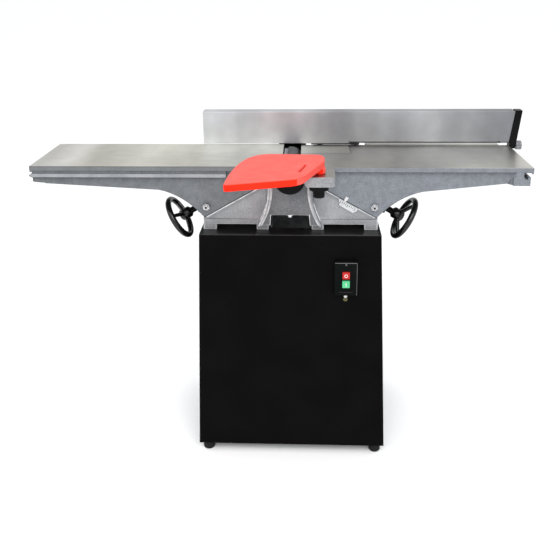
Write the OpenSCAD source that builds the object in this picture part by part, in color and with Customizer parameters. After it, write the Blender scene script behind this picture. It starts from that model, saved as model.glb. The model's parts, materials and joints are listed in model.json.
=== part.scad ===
// Floor-standing woodworking jointer. X runs along the feed, Y from front to back, Z is up.

/* [Tables] */
// Height of the outfeed table's surface above the floor
table_h = 790; // [740:1:860]
// Table width, front to back
table_w = 216; // [204:1:262]
// Outfeed table's end, from the cutter axis
outfeed_l = 628; // [520:1:780]
// Infeed table's end, from the cutter axis
infeed_l = 572; // [470:1:760]
// Drop of the infeed table below the outfeed table
cut_depth = 3; // [1:0.5:5]
// Outfeed lip's distance from the cutter axis
outfeed_lip = 20; // [19:0.5:24]
// Infeed lip's distance from the cutter axis
infeed_lip = 25; // [24:0.5:30]
// Thickness of the table plates
plate_t = 12; // [10:0.5:15]
// Thickness of the webs below the plates
web_t = 10; // [8:0.5:13]
// Setback of the webs from the plate's front edge
web_in = 14; // [10:0.5:17]
// Depth of the outfeed web at the table's end
web_end_h = 48; // [44:1:56]
// Depth of the web where it bends down to the way
web_bend_h = 64; // [56:1:72]
// Distance between the ribs below the plates
rib_pitch = 150; // [100:1:200]
// Length of the ledge to the right of the cutter axis
ledge_x = 106; // [90:1:130]
// Reach of the ledge in front of the table
ledge_d = 76; // [60:1:95]
// Thickness of the ledge
ledge_t = 24.5; // [18:0.5:26]
// Start of the front bar on the outfeed table
bar_x = 152; // [120:1:260]

/* [Base] */
// Height from the cabinet top to the outfeed table's surface
base_h = 165; // [150:1:190]
// Half length of the base casting
base_half = 213; // [212:1:250]
// Angle of the inclined ways
way_angle = 30; // [27:0.5:33]
// Outer end of the ways, from the cutter axis
way_x = 207; // [190:1:210]
// Height of the ways' outer end above the cabinet top
way_foot = 32; // [30:0.5:40]
// Height of the dovetail rails
rail_h = 26; // [22:0.5:30]
// Thickness of the way plates
way_t = 9; // [7:0.5:12]
// Half width of the tower at its top
tower_half = 58; // [54:0.5:60]

/* [Cutter head] */
// Radius of the cutting circle
cut_r = 31; // [30:0.25:31.5]
// Outer radius of the head bearings
bearing_r = 23.5; // [20:0.5:24]
// Radius of the head shaft
shaft_r = 10; // [8:0.5:12]
// Radius of the head pulley
head_pulley_r = 30; // [26:0.5:33]
// Number of knives
knife_n = 3; // [2:1:4]

/* [Cabinet] */
// Cabinet width at the top
cab_w_top = 440; // [430:1:500]
// Cabinet width at the floor
cab_w_bottom = 488; // [450:1:540]
// Cabinet back, behind the tables' back edge
cab_back = 102; // [96:1:180]
// Cabinet front, ahead of the table's front edge
cab_front = 22; // [10:1:40]
// Sheet thickness
sheet = 2; // [1.5:0.1:3]
// Height of the top cover's lip
lip_h = 36; // [30:1:70]
// Height of the rubber feet
foot_h = 28; // [20:1:40]
// Radius of the rubber feet
foot_r = 15.5; // [12:0.5:20]
// Radius of the dust port
port_r = 50; // [40:0.5:60]

/* [Fence] */
// Left end of the fence, from the cutter axis
fence_l = 236; // [200:1:320]
// Right end of the fence at its foot
fence_r = 571; // [470:1:640]
// Lean of the fence's right end over its height
fence_lean = 11; // [0:0.5:16]
// Height of the fence
fence_h = 86; // [76:0.5:120]
// Depth of the fence's top flange
fence_d = 36; // [30:0.5:42]
// Thickness of the fence plate
fence_t = 11; // [10:0.5:12]
// Travel of the fence across the table
fence_travel = 140; // [80:1:150]

/* [Guard] */
// Height of the guard's underside above the outfeed table
guard_gap = 10; // [10:0.5:16]
// Thickness of the guard
guard_t = 16; // [12:0.5:20]
// Guard pivot, right of the cutter axis
post_x = 69; // [50:0.5:70]
// Guard pivot, ahead of the table's front edge
post_d = 42; // [34:0.5:50]

/* [Handwheels] */
// Radius of the handwheels to the middle of the rim
wheel_r = 51.5; // [42:0.5:58]
// Radius of the rim's section
rim_r = 7; // [5:0.25:8]
// Distance of the hub from the way's outer end, along the screw
hub_s = 70; // [64:0.5:84]
// Radius of the lift screws
screw_r = 8; // [6:0.25:9]

/* [Switch] */
// Width of the switch box
switch_w = 56; // [50:0.5:70]
// Height of the switch box
switch_h = 88; // [80:0.5:110]
// Depth of the switch box
switch_d = 12; // [10:0.5:30]
// Middle of the switch, right of the cutter axis
switch_x = 136; // [90:1:160]
// Middle of the switch above the floor
switch_z = 516; // [420:1:540]
// Side of the push buttons
button_a = 18; // [14:0.5:20]

/* [Hidden] */
$fn = 64;
slip = 0.05;
seat = 0.3;
cab_top = table_h - base_h;
axis_z = table_h - cut_r;
mid_w = table_w / 2;
head_r = cut_r - 1;
scoop_r = cut_r + 3.5;
block_r = cut_r - 1;
infeed_z = table_h - cut_depth;
infeed_shift = cut_depth / tan(way_angle);
way_foot_z = cab_top + way_foot;
way_cos = cos(way_angle);
flange_z = cab_top + 27;
flange_in = web_in - 2;
pad_h = 14;
tower_in = 4;
tower_t = 18;
chamber_half = tower_half - 8;
tower_top = axis_z + 3;
slide_out = 4;
slide_in = -(way_x - tower_half - 9) / way_cos;
slide_h = rail_h + 12;
rail_in = 30;
rail_lean = 8;
rail_w = 39;
gib_w = 5.2;
bolt_s = -16.6;
bolt_n = rail_h - 3.5;
screw_n = 11;
nut_s = -95;
nut_l = 35;
lug_s = 14;
lug_l = 20;
lug_w = 36;
hub_l = 24;
slot_h = 11;
slot_d = 22;
slot_lip = 4;
end_wall = 18;
end_lip = 21;
fence_y = table_w - 1;
fence_z = table_h + 1.3;
fence_top = fence_z + fence_h;
bead_r = 15.5;
pivot_y = fence_y + 16;
pivot_z = fence_z + 16;
pin_r = 4;
knuckle_r = 7.5;
ear_w = 16;
ear_x = [62, 166];
lever_gap = 16;
chamfer = 5;
chamfer_x = 153;
end_plate_w = 19;
end_nut_l = 14;
end_nut_z = table_h - 6;
carriage_x = [56, 182];
carriage_y = [fence_y + fence_d + 1, fence_y + fence_travel + 105];
carriage_z = table_h + 3;
carriage_t = 12;
key_x = 122;
key_w = 12;
key_h = 6;
lock_x = 150;
lock_y = fence_y + 85;
lock_r = 6;
support_x = [52, 182];
support_y = table_w + 3;
support_t = 14;
support_end = carriage_y[1] - 40;
belt_y = [fence_y + fence_d + 7, fence_y + fence_d + 29];
motor_z = 215;
motor_r = 75;
motor_pulley_r = 52;
belt_t = 8;
shelf_z = motor_z - motor_r - 10;
flare = (cab_w_bottom - cab_w_top) / 2 / (cab_top - foot_h);
flare_angle = atan(flare);
cab_y = [-cab_front, table_w + cab_back];
port_z = 440;
guard_z = table_h + guard_gap;
guard_front = -222;
x_min = -(outfeed_l + slot_lip);
end_nut_r = 12;
end_nut_x = fence_end(end_nut_z + end_nut_r) + end_plate_w + 2.2;
x_max = max(end_nut_x + end_nut_l, fence_end(fence_top + 2) + end_plate_w);
mid_x = (x_min + x_max) / 2;
mid_y = (guard_front + carriage_y[1]) / 2;
iron = [0.57, 0.59, 0.62];
ground = [0.72, 0.70, 0.66];
black = [0.06, 0.06, 0.07];
steel = [0.75, 0.75, 0.77];
red = [0.95, 0.28, 0.22];
green = [0.1, 0.55, 0.3];
brass = [0.75, 0.6, 0.3];

function rear(y) = table_w - y;
function way_at(x) = way_foot_z + (way_x - x) * tan(way_angle);
function half_w(z) = cab_w_bottom / 2 - (z - foot_h) * flare;
function rail_edge(n) = rail_in + web_in - n * rail_lean / rail_h;
function bend(a, b, c, steps) =
    [for (i = [1:steps]) let (t = i / steps) (1 - t) * (1 - t) * a + 2 * t * (1 - t) * b + t * t * c];
function arc(c, r, a0, a1, steps) =
    [for (i = [0:steps]) let (a = a0 + (a1 - a0) * i / steps) [c[0] + r * cos(a), c[1] + r * sin(a)]];
function fence_end(z) = fence_r + fence_lean * (z - fence_z) / fence_h;

// Moves machine coordinates so that the origin is below the middle of the whole
module place() {
    translate([-mid_x, -mid_y, 0]) children();
}

module box(x0, x1, y0, y1, z0, z1) {
    translate([x0, y0, z0]) cube([x1 - x0, y1 - y0, z1 - z0]);
}

module rod_x(y, z, x0, x1, r) {
    translate([x0, y, z]) rotate([0, 90, 0]) cylinder(r = r, h = x1 - x0);
}

module rod_y(x, z, y0, y1, r) {
    translate([x, y0, z]) rotate([-90, 0, 0]) cylinder(r = r, h = y1 - y0);
}

module rod_z(x, y, z0, z1, r) {
    translate([x, y, z0]) cylinder(r = r, h = z1 - z0);
}

// Extrudes an outline drawn in X and Z
module along_y(y0, y1) {
    translate([0, y1, 0]) rotate([90, 0, 0]) linear_extrude(y1 - y0) children();
}

// Extrudes an outline drawn in Y and Z
module along_x(x0, x1) {
    translate([x0, 0, 0]) rotate([90, 0, 90]) linear_extrude(x1 - x0) children();
}

// Local frame of a way: X down the way, Z square to it, from the way's outer end
module on_way() {
    translate([way_x, 0, way_foot_z]) rotate([0, way_angle, 0]) children();
}

module left() {
    mirror([1, 0, 0]) children();
}

// Hexagon head with its washer, pointing up
module hex_head(r, h) {
    cylinder(r = r * 1.35, h = 1.5);
    cylinder(r = r, h = h + 1.5, $fn = 6);
}

// Cabinet outline between two heights, grown by a margin
module cabinet_outline(z0, z1, grow) {
    polygon([[-half_w(z0) - grow, z0], [half_w(z0) + grow, z0],
        [half_w(z1) + grow, z1], [-half_w(z1) - grow, z1]]);
}

lip_in = sheet + slip;
panel_x = 150;
panel_z = [110, 460];

module cabinet_shell() place() color(black) difference() {
    along_y(cab_y[0], cab_y[1]) cabinet_outline(foot_h, cab_top - sheet, 0);
    difference() {
        along_y(cab_y[0] + sheet, cab_y[1] - sheet) cabinet_outline(foot_h + sheet, cab_top, -sheet);
        for (s = [-1, 1]) for (y = foot_y) rod_z(s * foot_x, y, foot_h, foot_h + sheet, foot_r);
    }
    box(-foot_x + 30, foot_x - 30, foot_y[0] + 25, foot_y[1] - 25, foot_h - 1, foot_h + sheet + 1);
    box(-panel_x, panel_x, cab_y[1] - sheet - 1, cab_y[1] + 1, panel_z[0], panel_z[1]);
    for (s = [-1, 1]) for (y = foot_y) rod_z(s * foot_x, y, foot_h - 1, foot_h + sheet + 1, stud_r + slip);
    port_frame() cylinder(r = port_r + port_t + slip, h = 40, center = true);
    for (p = panel_screw_at) rod_y(p[0], p[1], cab_y[1] - sheet - 1, cab_y[1] + 1, small_r + slip);
    box(switch_x - 10, switch_x + 10, cab_y[0] - 1, cab_y[0] + 10, switch_z - 10, switch_z + 10);
}

foot_x = cab_w_bottom / 2 - 22;
foot_y = [cab_y[0] + 25, cab_y[1] - 25];
stud_r = 5;
small_r = 2.5;
panel_edge = 14;
panel_screw_at = [for (x = [-1, 0, 1]) for (z = [panel_z[0] - 7, panel_z[1] + 7]) [x * (panel_x - 8), z]];
chip_y = [tower_in + tower_t + 4, rear(tower_in + tower_t + 4)];
belt_slot = [44, belt_y[0] - 8, belt_y[1] + 8];
base_bolt_at = [for (s = [-1, 1]) for (y = [web_in + 20, rear(web_in + 20)]) [s * (base_half - 16), y]];
base_bolt_r = 5;
base_bolt_l = 20;

// Top cover: plate on the shell's edge, lip inside the shell
module cabinet_top() place() color(black) difference() {
    union() {
        along_y(cab_y[0], cab_y[1]) cabinet_outline(cab_top - sheet, cab_top, 0);
        along_y(cab_y[0] + lip_in, cab_y[1] - lip_in)
            cabinet_outline(cab_top - lip_h, cab_top - sheet / 2, -lip_in);
    }
    along_y(cab_y[0] + lip_in + sheet, cab_y[1] - lip_in - sheet)
        cabinet_outline(cab_top - lip_h - 1, cab_top - sheet, -lip_in - sheet);
    box(-chamber_half, chamber_half, chip_y[0], chip_y[1], cab_top - sheet - 1, cab_top + 1);
    box(-belt_slot[0], belt_slot[0], belt_slot[1], belt_slot[2], cab_top - sheet - 1, cab_top + 1);
    for (p = base_bolt_at) rod_z(p[0], p[1], cab_top - sheet - 1, cab_top + 1, base_bolt_r + slip);
    for (s = [-1, 1]) rod_z(s * tab_x, tab_y, cab_top - sheet - 1, cab_top + 1, small_r + slip);
}

// Access cover with pressed louvres
module rear_panel() place() color(black) difference() {
    union() {
        box(-panel_x - panel_edge, panel_x + panel_edge, cab_y[1], cab_y[1] + sheet,
            panel_z[0] - panel_edge, panel_z[1] + panel_edge);
        for (x = [-1, 1]) for (i = [0:louvre_n - 1]) translate([x * louvre_x, 0, louvre_z(i)])
            along_x(-louvre_l / 2, louvre_l / 2)
                polygon([[cab_y[1] + sheet - 0.1, 0], [cab_y[1] + sheet + 6, 0],
                    [cab_y[1] + sheet - 0.1, 14]]);
    }
    for (x = [-1, 1]) for (i = [0:louvre_n - 1]) translate([x * louvre_x, 0, louvre_z(i)])
        along_x(2 - louvre_l / 2, louvre_l / 2 - 2)
            polygon([[cab_y[1] - 1, -1], [cab_y[1] + sheet + 3.5, -1], [cab_y[1] + sheet + 3.5, 1.5],
                [cab_y[1] - 1, 10]]);
    for (p = panel_screw_at) rod_y(p[0], p[1], cab_y[1] - 1, cab_y[1] + sheet + 1, small_r + slip);
}

louvre_n = 5;
louvre_l = 90;
louvre_x = 72;
function louvre_z(i) = panel_z[0] + 50 + 26 * i;

module cover_screws() place() color(steel) {
    for (p = panel_screw_at) {
        rod_y(p[0], p[1], cab_y[1] - sheet - 4, cab_y[1] + sheet + 1, small_r);
        rod_y(p[0], p[1], cab_y[1] + sheet, cab_y[1] + sheet + 3, small_r * 1.9);
    }
    for (s = [-1, 1]) {
        rod_z(s * tab_x, tab_y, cab_top - sheet - 4, cab_top + sheet + 1, small_r);
        rod_z(s * tab_x, tab_y, cab_top + sheet, cab_top + sheet + 3, small_r * 1.9);
    }
}

module rubber_feet() place() color(black)
    for (s = [-1, 1]) for (y = foot_y) translate([s * foot_x, y, 0]) difference() {
        rotate_extrude() polygon([[0, 0], [foot_r - 2, 0], [foot_r, 3], [foot_r - 2, foot_h], [0, foot_h]]);
        translate([0, 0, foot_h - 10]) cylinder(r = stud_r + slip, h = 11);
    }

module foot_studs() place() color(steel)
    for (s = [-1, 1]) for (y = foot_y) translate([s * foot_x, y, foot_h - 10]) {
        cylinder(r = stud_r, h = 26);
        translate([0, 0, 10 + sheet]) cylinder(r = 9, h = 6, $fn = 6);
    }

// Half width of the tower at a height, wider at its foot
function tower_w(z) =
    let (t = min(1, (z - cab_top - pad_h) / (tower_top - 30 - cab_top - pad_h)))
    tower_half - 6 + 26 * (1 - t) * (1 - t);
tower_steps = 10;
tower_side = [for (i = [0:tower_steps])
    let (z = cab_top + pad_h + (tower_top - cab_top - pad_h) * i / tower_steps) [tower_w(z), z]];
notch_w = 49;
notch_h = 41;

module tower_outline() {
    polygon(concat(tower_side, [for (i = [tower_steps:-1:0]) [-tower_side[i][0], tower_side[i][1]]]));
}

// Raised border along one side of the tower's face
module tower_border() {
    polygon(concat([for (i = [0:tower_steps - 2]) tower_side[i]],
        [for (i = [tower_steps - 2:-1:0]) [tower_side[i][0] - 8, tower_side[i][1]]]));
}

module way_side() {
    on_way() {
        box(-(way_x - tower_half) / way_cos, 7, web_in, rear(web_in), -way_t, 0);
        for (f = [0, 1]) translate([0, f * table_w, 0]) scale_y(f) along_x(slide_in + 5, slide_out + 1)
            polygon([[rail_edge(0), -1], [rail_edge(0), 0], [rail_edge(rail_h), rail_h],
                [rail_edge(0) + rail_w - rail_lean, rail_h], [rail_edge(0) + rail_w - rail_lean, -1]]);
    }
    for (y = [web_in + 2, rear(web_in + 22)]) along_y(y, y + 10)
        polygon([[tower_half - 4, flange_z - 1], [base_half - 3, flange_z - 1],
            [way_x + 2, way_at(way_x + 2) - way_t / 2],
            [tower_half - 4, way_at(tower_half - 4) - way_t / 2]]);
    box(chamber_half, tower_half, tower_in + 1, rear(tower_in + 1), cab_top + pad_h, way_at(tower_half) - 4);
    for (x = [[53, 82], [base_half - 32, base_half]]) for (y = [flange_in, rear(flange_in + 40)])
        box(x[0], x[1], y, y + 40, cab_top, cab_top + pad_h + 1);
}

// Mirrors front to back when asked
module scale_y(f) {
    if (f == 1) mirror([0, 1, 0]) children();
    else children();
}

module base_casting() place() color(iron) difference() {
    union() {
        way_side();
        left() way_side();
        difference() {
            box(-base_half, base_half, flange_in, rear(flange_in), cab_top + pad_h, flange_z);
            box(-base_half + 43, base_half - 43, web_in + 30, rear(web_in + 30), cab_top, flange_z + 1);
        }
        for (y = [tower_in, rear(tower_in + tower_t)]) along_y(y, y + tower_t) tower_outline();
        along_y(tower_in - 7, tower_in + 1) {
            tower_border();
            left() tower_border();
        }
    }
    along_y(-20, table_w + 20)
        polygon([[-notch_w, cab_top - 1], [notch_w, cab_top - 1],
            [notch_w - 3, cab_top + notch_h], [3 - notch_w, cab_top + notch_h]]);
    rod_y(0, axis_z, tower_in - 10, rear(tower_in - 10), block_r + slip);
    box(-chamber_half, chamber_half, tower_in + tower_t, rear(tower_in + tower_t), cab_top, axis_z + 10);
    for (y = block_y) rod_z(0, y + tower_t / 2, cab_top + notch_h - 1, axis_z, hold_r + 0.3);
    for (p = base_bolt_at) rod_z(p[0], p[1], cab_top - 1, cab_top + base_bolt_l + 2, base_bolt_r + slip);
    for (x = support_bolt_x) rod_y(x, support_bolt_z, rear(web_in + 23), rear(web_in + 11), hold_r + slip);
}

block_y = [tower_in, rear(tower_in + tower_t)];
hold_r = 4;
pad_x = [74, 126];
support_bolt_x = [86, 114];
support_bolt_z = cab_top + 45;

module base_bolts() place() color(steel)
    for (p = base_bolt_at) {
        rod_z(p[0], p[1], cab_top - sheet - 1, cab_top + base_bolt_l, base_bolt_r);
        translate([p[0], p[1], cab_top - sheet]) rotate([180, 0, 0]) hex_head(8, 6);
    }

block_flange_r = 36.5;

// Bearing block: round body, bore open to the head, lower flange on the outer side
module bearing_block(y0, out, flange_t, through) {
    difference() {
        union() {
            rod_y(0, axis_z, y0, y0 + tower_t, block_r - slip);
            rod_y(0, axis_z, out > 0 ? y0 + tower_t : y0 - flange_t,
                out > 0 ? y0 + tower_t + flange_t : y0, block_flange_r);
        }
        box(-60, 60, y0 - 30, y0 + tower_t + 30, axis_z + 13, axis_z + 60);
        difference() {
            box(-60, 60, y0 - 30, y0 + tower_t + 30, axis_z - 14, axis_z + 60);
            rod_y(0, axis_z, y0 - 40, y0 + tower_t + 40, block_r - slip);
        }
        rod_y(0, axis_z, out > 0 ? y0 - 1 : y0 + 4, out > 0 ? y0 + tower_t - 4 : y0 + tower_t + 1,
            bearing_r + slip);
        if (through) rod_y(0, axis_z, y0, y0 + tower_t + flange_t + 1, shaft_r + 1);
        rod_z(0, y0 + tower_t / 2, axis_z - 60, axis_z - bearing_r + 1, hold_r + slip);
    }
}

module front_bearing_block() place() color(black) bearing_block(block_y[0], -1, 12, false);
module rear_bearing_block() place() color(black) bearing_block(block_y[1], 1, 8, true);

module head_bearings() place() color(steel)
    for (y = [block_y[0] + 4, block_y[1]]) difference() {
        rod_y(0, axis_z, y, y + tower_t - 4, bearing_r);
        rod_y(0, axis_z, y - 1, y + tower_t, shaft_r + slip);
    }

module block_bolts() place() color(steel)
    for (y = block_y) translate([0, y + tower_t / 2, cab_top + notch_h]) {
        rotate([180, 0, 0]) hex_head(7, 5);
        cylinder(r = hold_r, h = axis_z - bearing_r - 2 - cab_top - notch_h);
    }

module lift_nut() on_way() difference() {
    box(nut_s, nut_s + nut_l, mid_w - 14, mid_w + 14, 0, screw_n + 12);
    rod_x(mid_w, screw_n, nut_s - 1, nut_s + nut_l + 1, screw_r + slip);
}

module lift_nuts() place() color(brass) {
    lift_nut();
    left() lift_nut();
}

chute_drop = 60;
chute_top = cab_top - sheet;

module chute_outline(t) {
    polygon([[chamber_half - t, chute_top + (t > 0 ? 1 : 0)], [chamber_half - t, chute_top - chute_drop],
        [-half_w(port_z) + port_l + 8, port_z - port_r - 8 + t],
        [-half_w(port_z - 60) + sheet + 1 - t, port_z - port_r - 8 + t],
        [-half_w(port_z + 60) + sheet + 1 - t, port_z + port_r + 8 - t],
        [-chamber_half + t, chute_top - chute_drop / 2 - t],
        [-chamber_half + t, chute_top + (t > 0 ? 1 : 0)]]);
}

// Sheet chute from the chip opening down to the dust port
module chip_chute() place() color(steel) difference() {
    along_y(chip_y[0], chip_y[1]) chute_outline(0);
    along_y(chip_y[0] + sheet, chip_y[1] - sheet) chute_outline(sheet);
}

port_l = 44;
port_t = 2;

// Local frame of the dust port on the cabinet's left side, Z outwards
module port_frame() {
    translate([-half_w(port_z), mid_w, port_z]) rotate([0, -90 + flare_angle, 0]) children();
}

// Socket for a hose sleeve: flange outside, tube inside the cabinet
module dust_port() place() color(black) port_frame() difference() {
    union() {
        translate([0, 0, slip]) cylinder(r = port_r + 14, h = sheet);
        translate([0, 0, -port_l]) cylinder(r = port_r + port_t, h = port_l + 1);
    }
    translate([0, 0, -port_l - 1]) cylinder(r = port_r, h = port_l + 10);
}

shelf_y = [20, fence_y + fence_d - 6];
shelf_half = half_w(shelf_z) - sheet - slip;
motor_bolt_at = [for (s = [-1, 1]) for (y = [75, 175]) [s * 50, y]];

module motor_shelf() place() color(black) difference() {
    union() {
        box(-shelf_half, shelf_half, shelf_y[0], shelf_y[1], shelf_z - 4, shelf_z);
        for (y = [shelf_y[0], shelf_y[1] - 4])
            box(-shelf_half, shelf_half, y, y + 4, shelf_z - 30, shelf_z - 3);
    }
    for (p = motor_bolt_at) rod_z(p[0], p[1], shelf_z - 5, shelf_z + 1, hold_r + slip);
}

motor_y = [40, 215];

module motor_housing() place() color([0.25, 0.27, 0.3]) difference() {
    union() {
        rod_y(0, motor_z, motor_y[0], motor_y[1], motor_r);
        rod_y(0, motor_z, motor_y[1] - 1, motor_y[1] + 10, 30);
        for (a = [20:20:340]) translate([0, 0, motor_z]) rotate([0, a, 0])
            box(-1.5, 1.5, motor_y[0] + 35, motor_y[1] - 30, -motor_r - 5, -motor_r + 2);
        for (s = [-1, 1]) box(s * 50 - 16, s * 50 + 16, 60, 190, shelf_z, motor_z - 50);
        box(-motor_r - 22, -motor_r + 20, 95, 155, motor_z - 25, motor_z + 25);
    }
    rod_y(0, motor_z, 60, motor_y[1] + 20, motor_shaft_r + slip);
    for (p = motor_bolt_at) rod_z(p[0], p[1], shelf_z - 1, shelf_z + 14, hold_r + slip);
}

motor_shaft_r = 9.5;

module motor_bolts() place() color(steel)
    for (p = motor_bolt_at) translate([p[0], p[1], shelf_z - 4]) {
        rotate([180, 0, 0]) hex_head(7, 5);
        cylinder(r = hold_r, h = 17);
    }

// Loop round two pulleys, one above the other
function belt_loop(r1, r2) =
    let (a = asin((r2 - r1) / (axis_z - motor_z)))
    concat(arc([0, axis_z], r1, a, 180 - a, 32), arc([0, motor_z], r2, 180 - a, 360 + a, 32));

belt_in = [belt_y[0] + 7, belt_y[1] - 7];

module drive_belt() place() color(black) along_y(belt_in[0] + seat, belt_in[1] - seat) difference() {
    polygon(belt_loop(head_pulley_r - 1, motor_pulley_r - 1));
    polygon(belt_loop(head_pulley_r - 1 - belt_t, motor_pulley_r - 1 - belt_t));
}

guard_half = 40;
tab_x = guard_half + 9;
tab_y = (belt_y[0] + belt_y[1]) / 2;

// Sheet cover over the upper part of the belt
module belt_guard() place() color(black) difference() {
    union() {
        along_y(belt_y[0] - 5, belt_y[1] + 5) {
            translate([0, axis_z]) circle(r = guard_half);
            translate([-guard_half, cab_top]) square([2 * guard_half, axis_z - cab_top]);
        }
        box(-tab_x - 8, tab_x + 8, tab_y - 10, tab_y + 10, cab_top, cab_top + sheet);
    }
    along_y(belt_y[0] - 5 + sheet, belt_y[1] + 5 - sheet) {
        translate([0, axis_z]) circle(r = guard_half - sheet);
        translate([sheet - guard_half, cab_top - 1]) square([2 * (guard_half - sheet), axis_z - cab_top + 1]);
    }
    rod_y(0, axis_z, belt_y[0] - 10, belt_y[0] + 1, shaft_r + 4);
    for (s = [-1, 1]) rod_z(s * tab_x, tab_y, cab_top - 1, cab_top + sheet + 1, small_r + slip);
}

switch_wall = 3;
button_gap = 0.4;
stop_z = switch_z + 11;
start_z = switch_z - 12;
switch_y = cab_y[0];

module switch_box() place() color(black) difference() {
    union() {
        box(switch_x - switch_w / 2, switch_x + switch_w / 2, switch_y - switch_d, switch_y,
            switch_z - switch_h / 2, switch_z + switch_h / 2);
        box(switch_x - 9, switch_x + 9, switch_y - 1, switch_y + sheet + 4, switch_z - 9, switch_z + 9);
    }
    box(switch_x - switch_w / 2 + switch_wall, switch_x + switch_w / 2 - switch_wall, switch_y - switch_d - 1,
        switch_y - 4, switch_z - switch_h / 2 + switch_wall, switch_z + switch_h / 2 - switch_wall);
}

plate_d = 3;

module switch_plate() place() color(black) difference() {
    box(switch_x - switch_w / 2 + 1, switch_x + switch_w / 2 - 1, switch_y - switch_d - plate_d,
        switch_y - switch_d, switch_z - switch_h / 2 + 1, switch_z + switch_h / 2 - 1);
    for (z = [stop_z, start_z]) {
        hole = button_a / 2 + button_gap;
        box(switch_x - hole, switch_x + hole, switch_y - switch_d - plate_d - 1, switch_y - switch_d + 1,
            z - hole, z + hole);
    }
}

button_out = 4;
button_l = switch_d + plate_d + button_out - 8;

// Button cap with a wider foot behind the plate
module button(z) {
    y0 = switch_y - switch_d - plate_d - button_out;
    cap = button_a / 2;
    foot = cap + 1.5;
    y1 = switch_y - switch_d + 0.4;
    box(switch_x - cap, switch_x + cap, y0, y0 + button_l, z - cap, z + cap);
    box(switch_x - foot, switch_x + foot, y1, y1 + 2.6, z - foot, z + foot);
}

module start_button() place() color(green) button(start_z);
module stop_button() place() color(red) button(stop_z);

earth_z = switch_z - switch_h / 2 - 6;

module earth_terminal() place() color(brass) {
    rod_y(switch_x, earth_z - 10, switch_y - 1.5, switch_y, 5.5);
    rod_y(switch_x, earth_z, switch_y - 4, switch_y, 4.5);
}

scale_s = [-103, -47];
scale_w = 17.5;

// Plate on the way's front edge, cut off slanting at both ends
module depth_scale() place() color([0.85, 0.85, 0.85]) on_way() along_y(web_in - 1.2, web_in)
    polygon([[scale_s[0], -0.5], [scale_s[0] + 10, -scale_w], [scale_s[1] - 6, -scale_w],
        [scale_s[1], -scale_w / 2], [scale_s[1], -0.5]]);

module fence_support() place() color(iron) difference() {
    union() {
        box(pad_x[0], pad_x[1], rear(web_in + 12), support_y + 1, cab_top + 29, cab_top + 65);
        box(support_x[0] + 8, support_x[1] - 2, support_y, support_y + support_t, cab_top + 29, fence_z - 8);
        for (x = [70, 166]) along_x(x, x + 12)
            polygon([[support_y + 5, cab_top + 70], [support_y + 5, fence_z - 8],
                [support_end - 4, fence_z - 8], [support_end - 4, fence_z - 20]]);
        box(support_x[0], support_x[1], carriage_y[0], support_end,
            carriage_z - seat - support_t, carriage_z - seat);
    }
    box(key_x - key_w / 2 - seat, key_x + key_w / 2 + seat, carriage_y[0] - 1, support_end + 1,
        carriage_z - key_h - 2 * seat, carriage_z);
    rod_z(lock_x, lock_y, carriage_z - 40, carriage_z, lock_r + slip);
    for (x = support_bolt_x)
        rod_y(x, support_bolt_z, rear(web_in + 13), support_y + support_t + 1, hold_r + slip);
}

module support_bolts() place() color(steel)
    for (x = support_bolt_x) translate([x, 0, support_bolt_z]) {
        rod_y(0, 0, rear(web_in + 34), support_y + support_t + 1, hold_r);
        translate([0, support_y + support_t, 0]) rotate([-90, 0, 0]) hex_head(7, 5);
        translate([0, rear(web_in + 28), 0]) rotate([-90, 0, 0]) cylinder(r = 7, h = 6, $fn = 6);
    }

knife_slot = 10;
slot_r = head_r - 13;
head_y = [tower_in + tower_t + 2, rear(tower_in + tower_t + 2)];
knife_turn = -24;

// Repeats round the head, local Z outwards at the first knife
module at_knives() {
    for (i = [0:knife_n - 1])
        translate([0, 0, axis_z]) rotate([0, knife_turn + i * 360 / knife_n, 0]) children();
}

module cutterhead() place() color(steel) difference() {
    union() {
        rod_y(0, axis_z, head_y[0], head_y[1], head_r);
        rod_y(0, axis_z, block_y[0] + 5, belt_y[1] + 2, shaft_r);
    }
    at_knives() box(-knife_slot / 2, knife_slot / 2, head_y[0] - 1, head_y[1] + 1, slot_r, head_r + 2);
}

knife_t = 3;

module knives() place() color([0.6, 0.6, 0.63]) at_knives() along_y(head_y[0] + 1, head_y[1] - 1)
    polygon([[slip - knife_slot / 2, slot_r + slip], [slip - knife_slot / 2, cut_r],
        [knife_t - knife_slot / 2, cut_r - 2.5], [knife_t - knife_slot / 2, slot_r + slip]]);

wedge_x = [knife_t + slip - knife_slot / 2, knife_slot / 2 - 2.2];

module knife_wedges() place() color(steel) at_knives()
    box(wedge_x[0], wedge_x[1], head_y[0] + 2, head_y[1] - 2, slot_r + slip, head_r - 2);

wedge_screw_y = [for (i = [0:4]) head_y[0] + 16 + i * (head_y[1] - head_y[0] - 32) / 4];

module wedge_screws() place() color(steel) at_knives() for (y = wedge_screw_y)
    translate([wedge_x[1], y, slot_r + 6]) rotate([0, 90, 0])
        cylinder(r = 4, h = knife_slot / 2 - wedge_x[1] - slip, $fn = 6);

// Grooved pulley on a shaft along Y
module pulley(z, r, bore) {
    difference() {
        rod_y(0, z, belt_y[0], belt_y[1], r);
        difference() {
            rod_y(0, z, belt_in[0], belt_in[1], r + 1);
            rod_y(0, z, belt_in[0] - 1, belt_in[1] + 1, r - 1 - belt_t - seat);
        }
        rod_y(0, z, belt_y[0] - 1, belt_y[1] + 1, bore + slip / 2);
    }
}

module head_pulley() place() color(iron) pulley(axis_z, head_pulley_r, shaft_r);
module motor_pulley() place() color(iron) pulley(motor_z, motor_pulley_r, motor_shaft_r);
module motor_shaft() place() color(steel) rod_y(0, motor_z, 70, belt_y[1] + 2, motor_shaft_r);

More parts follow.
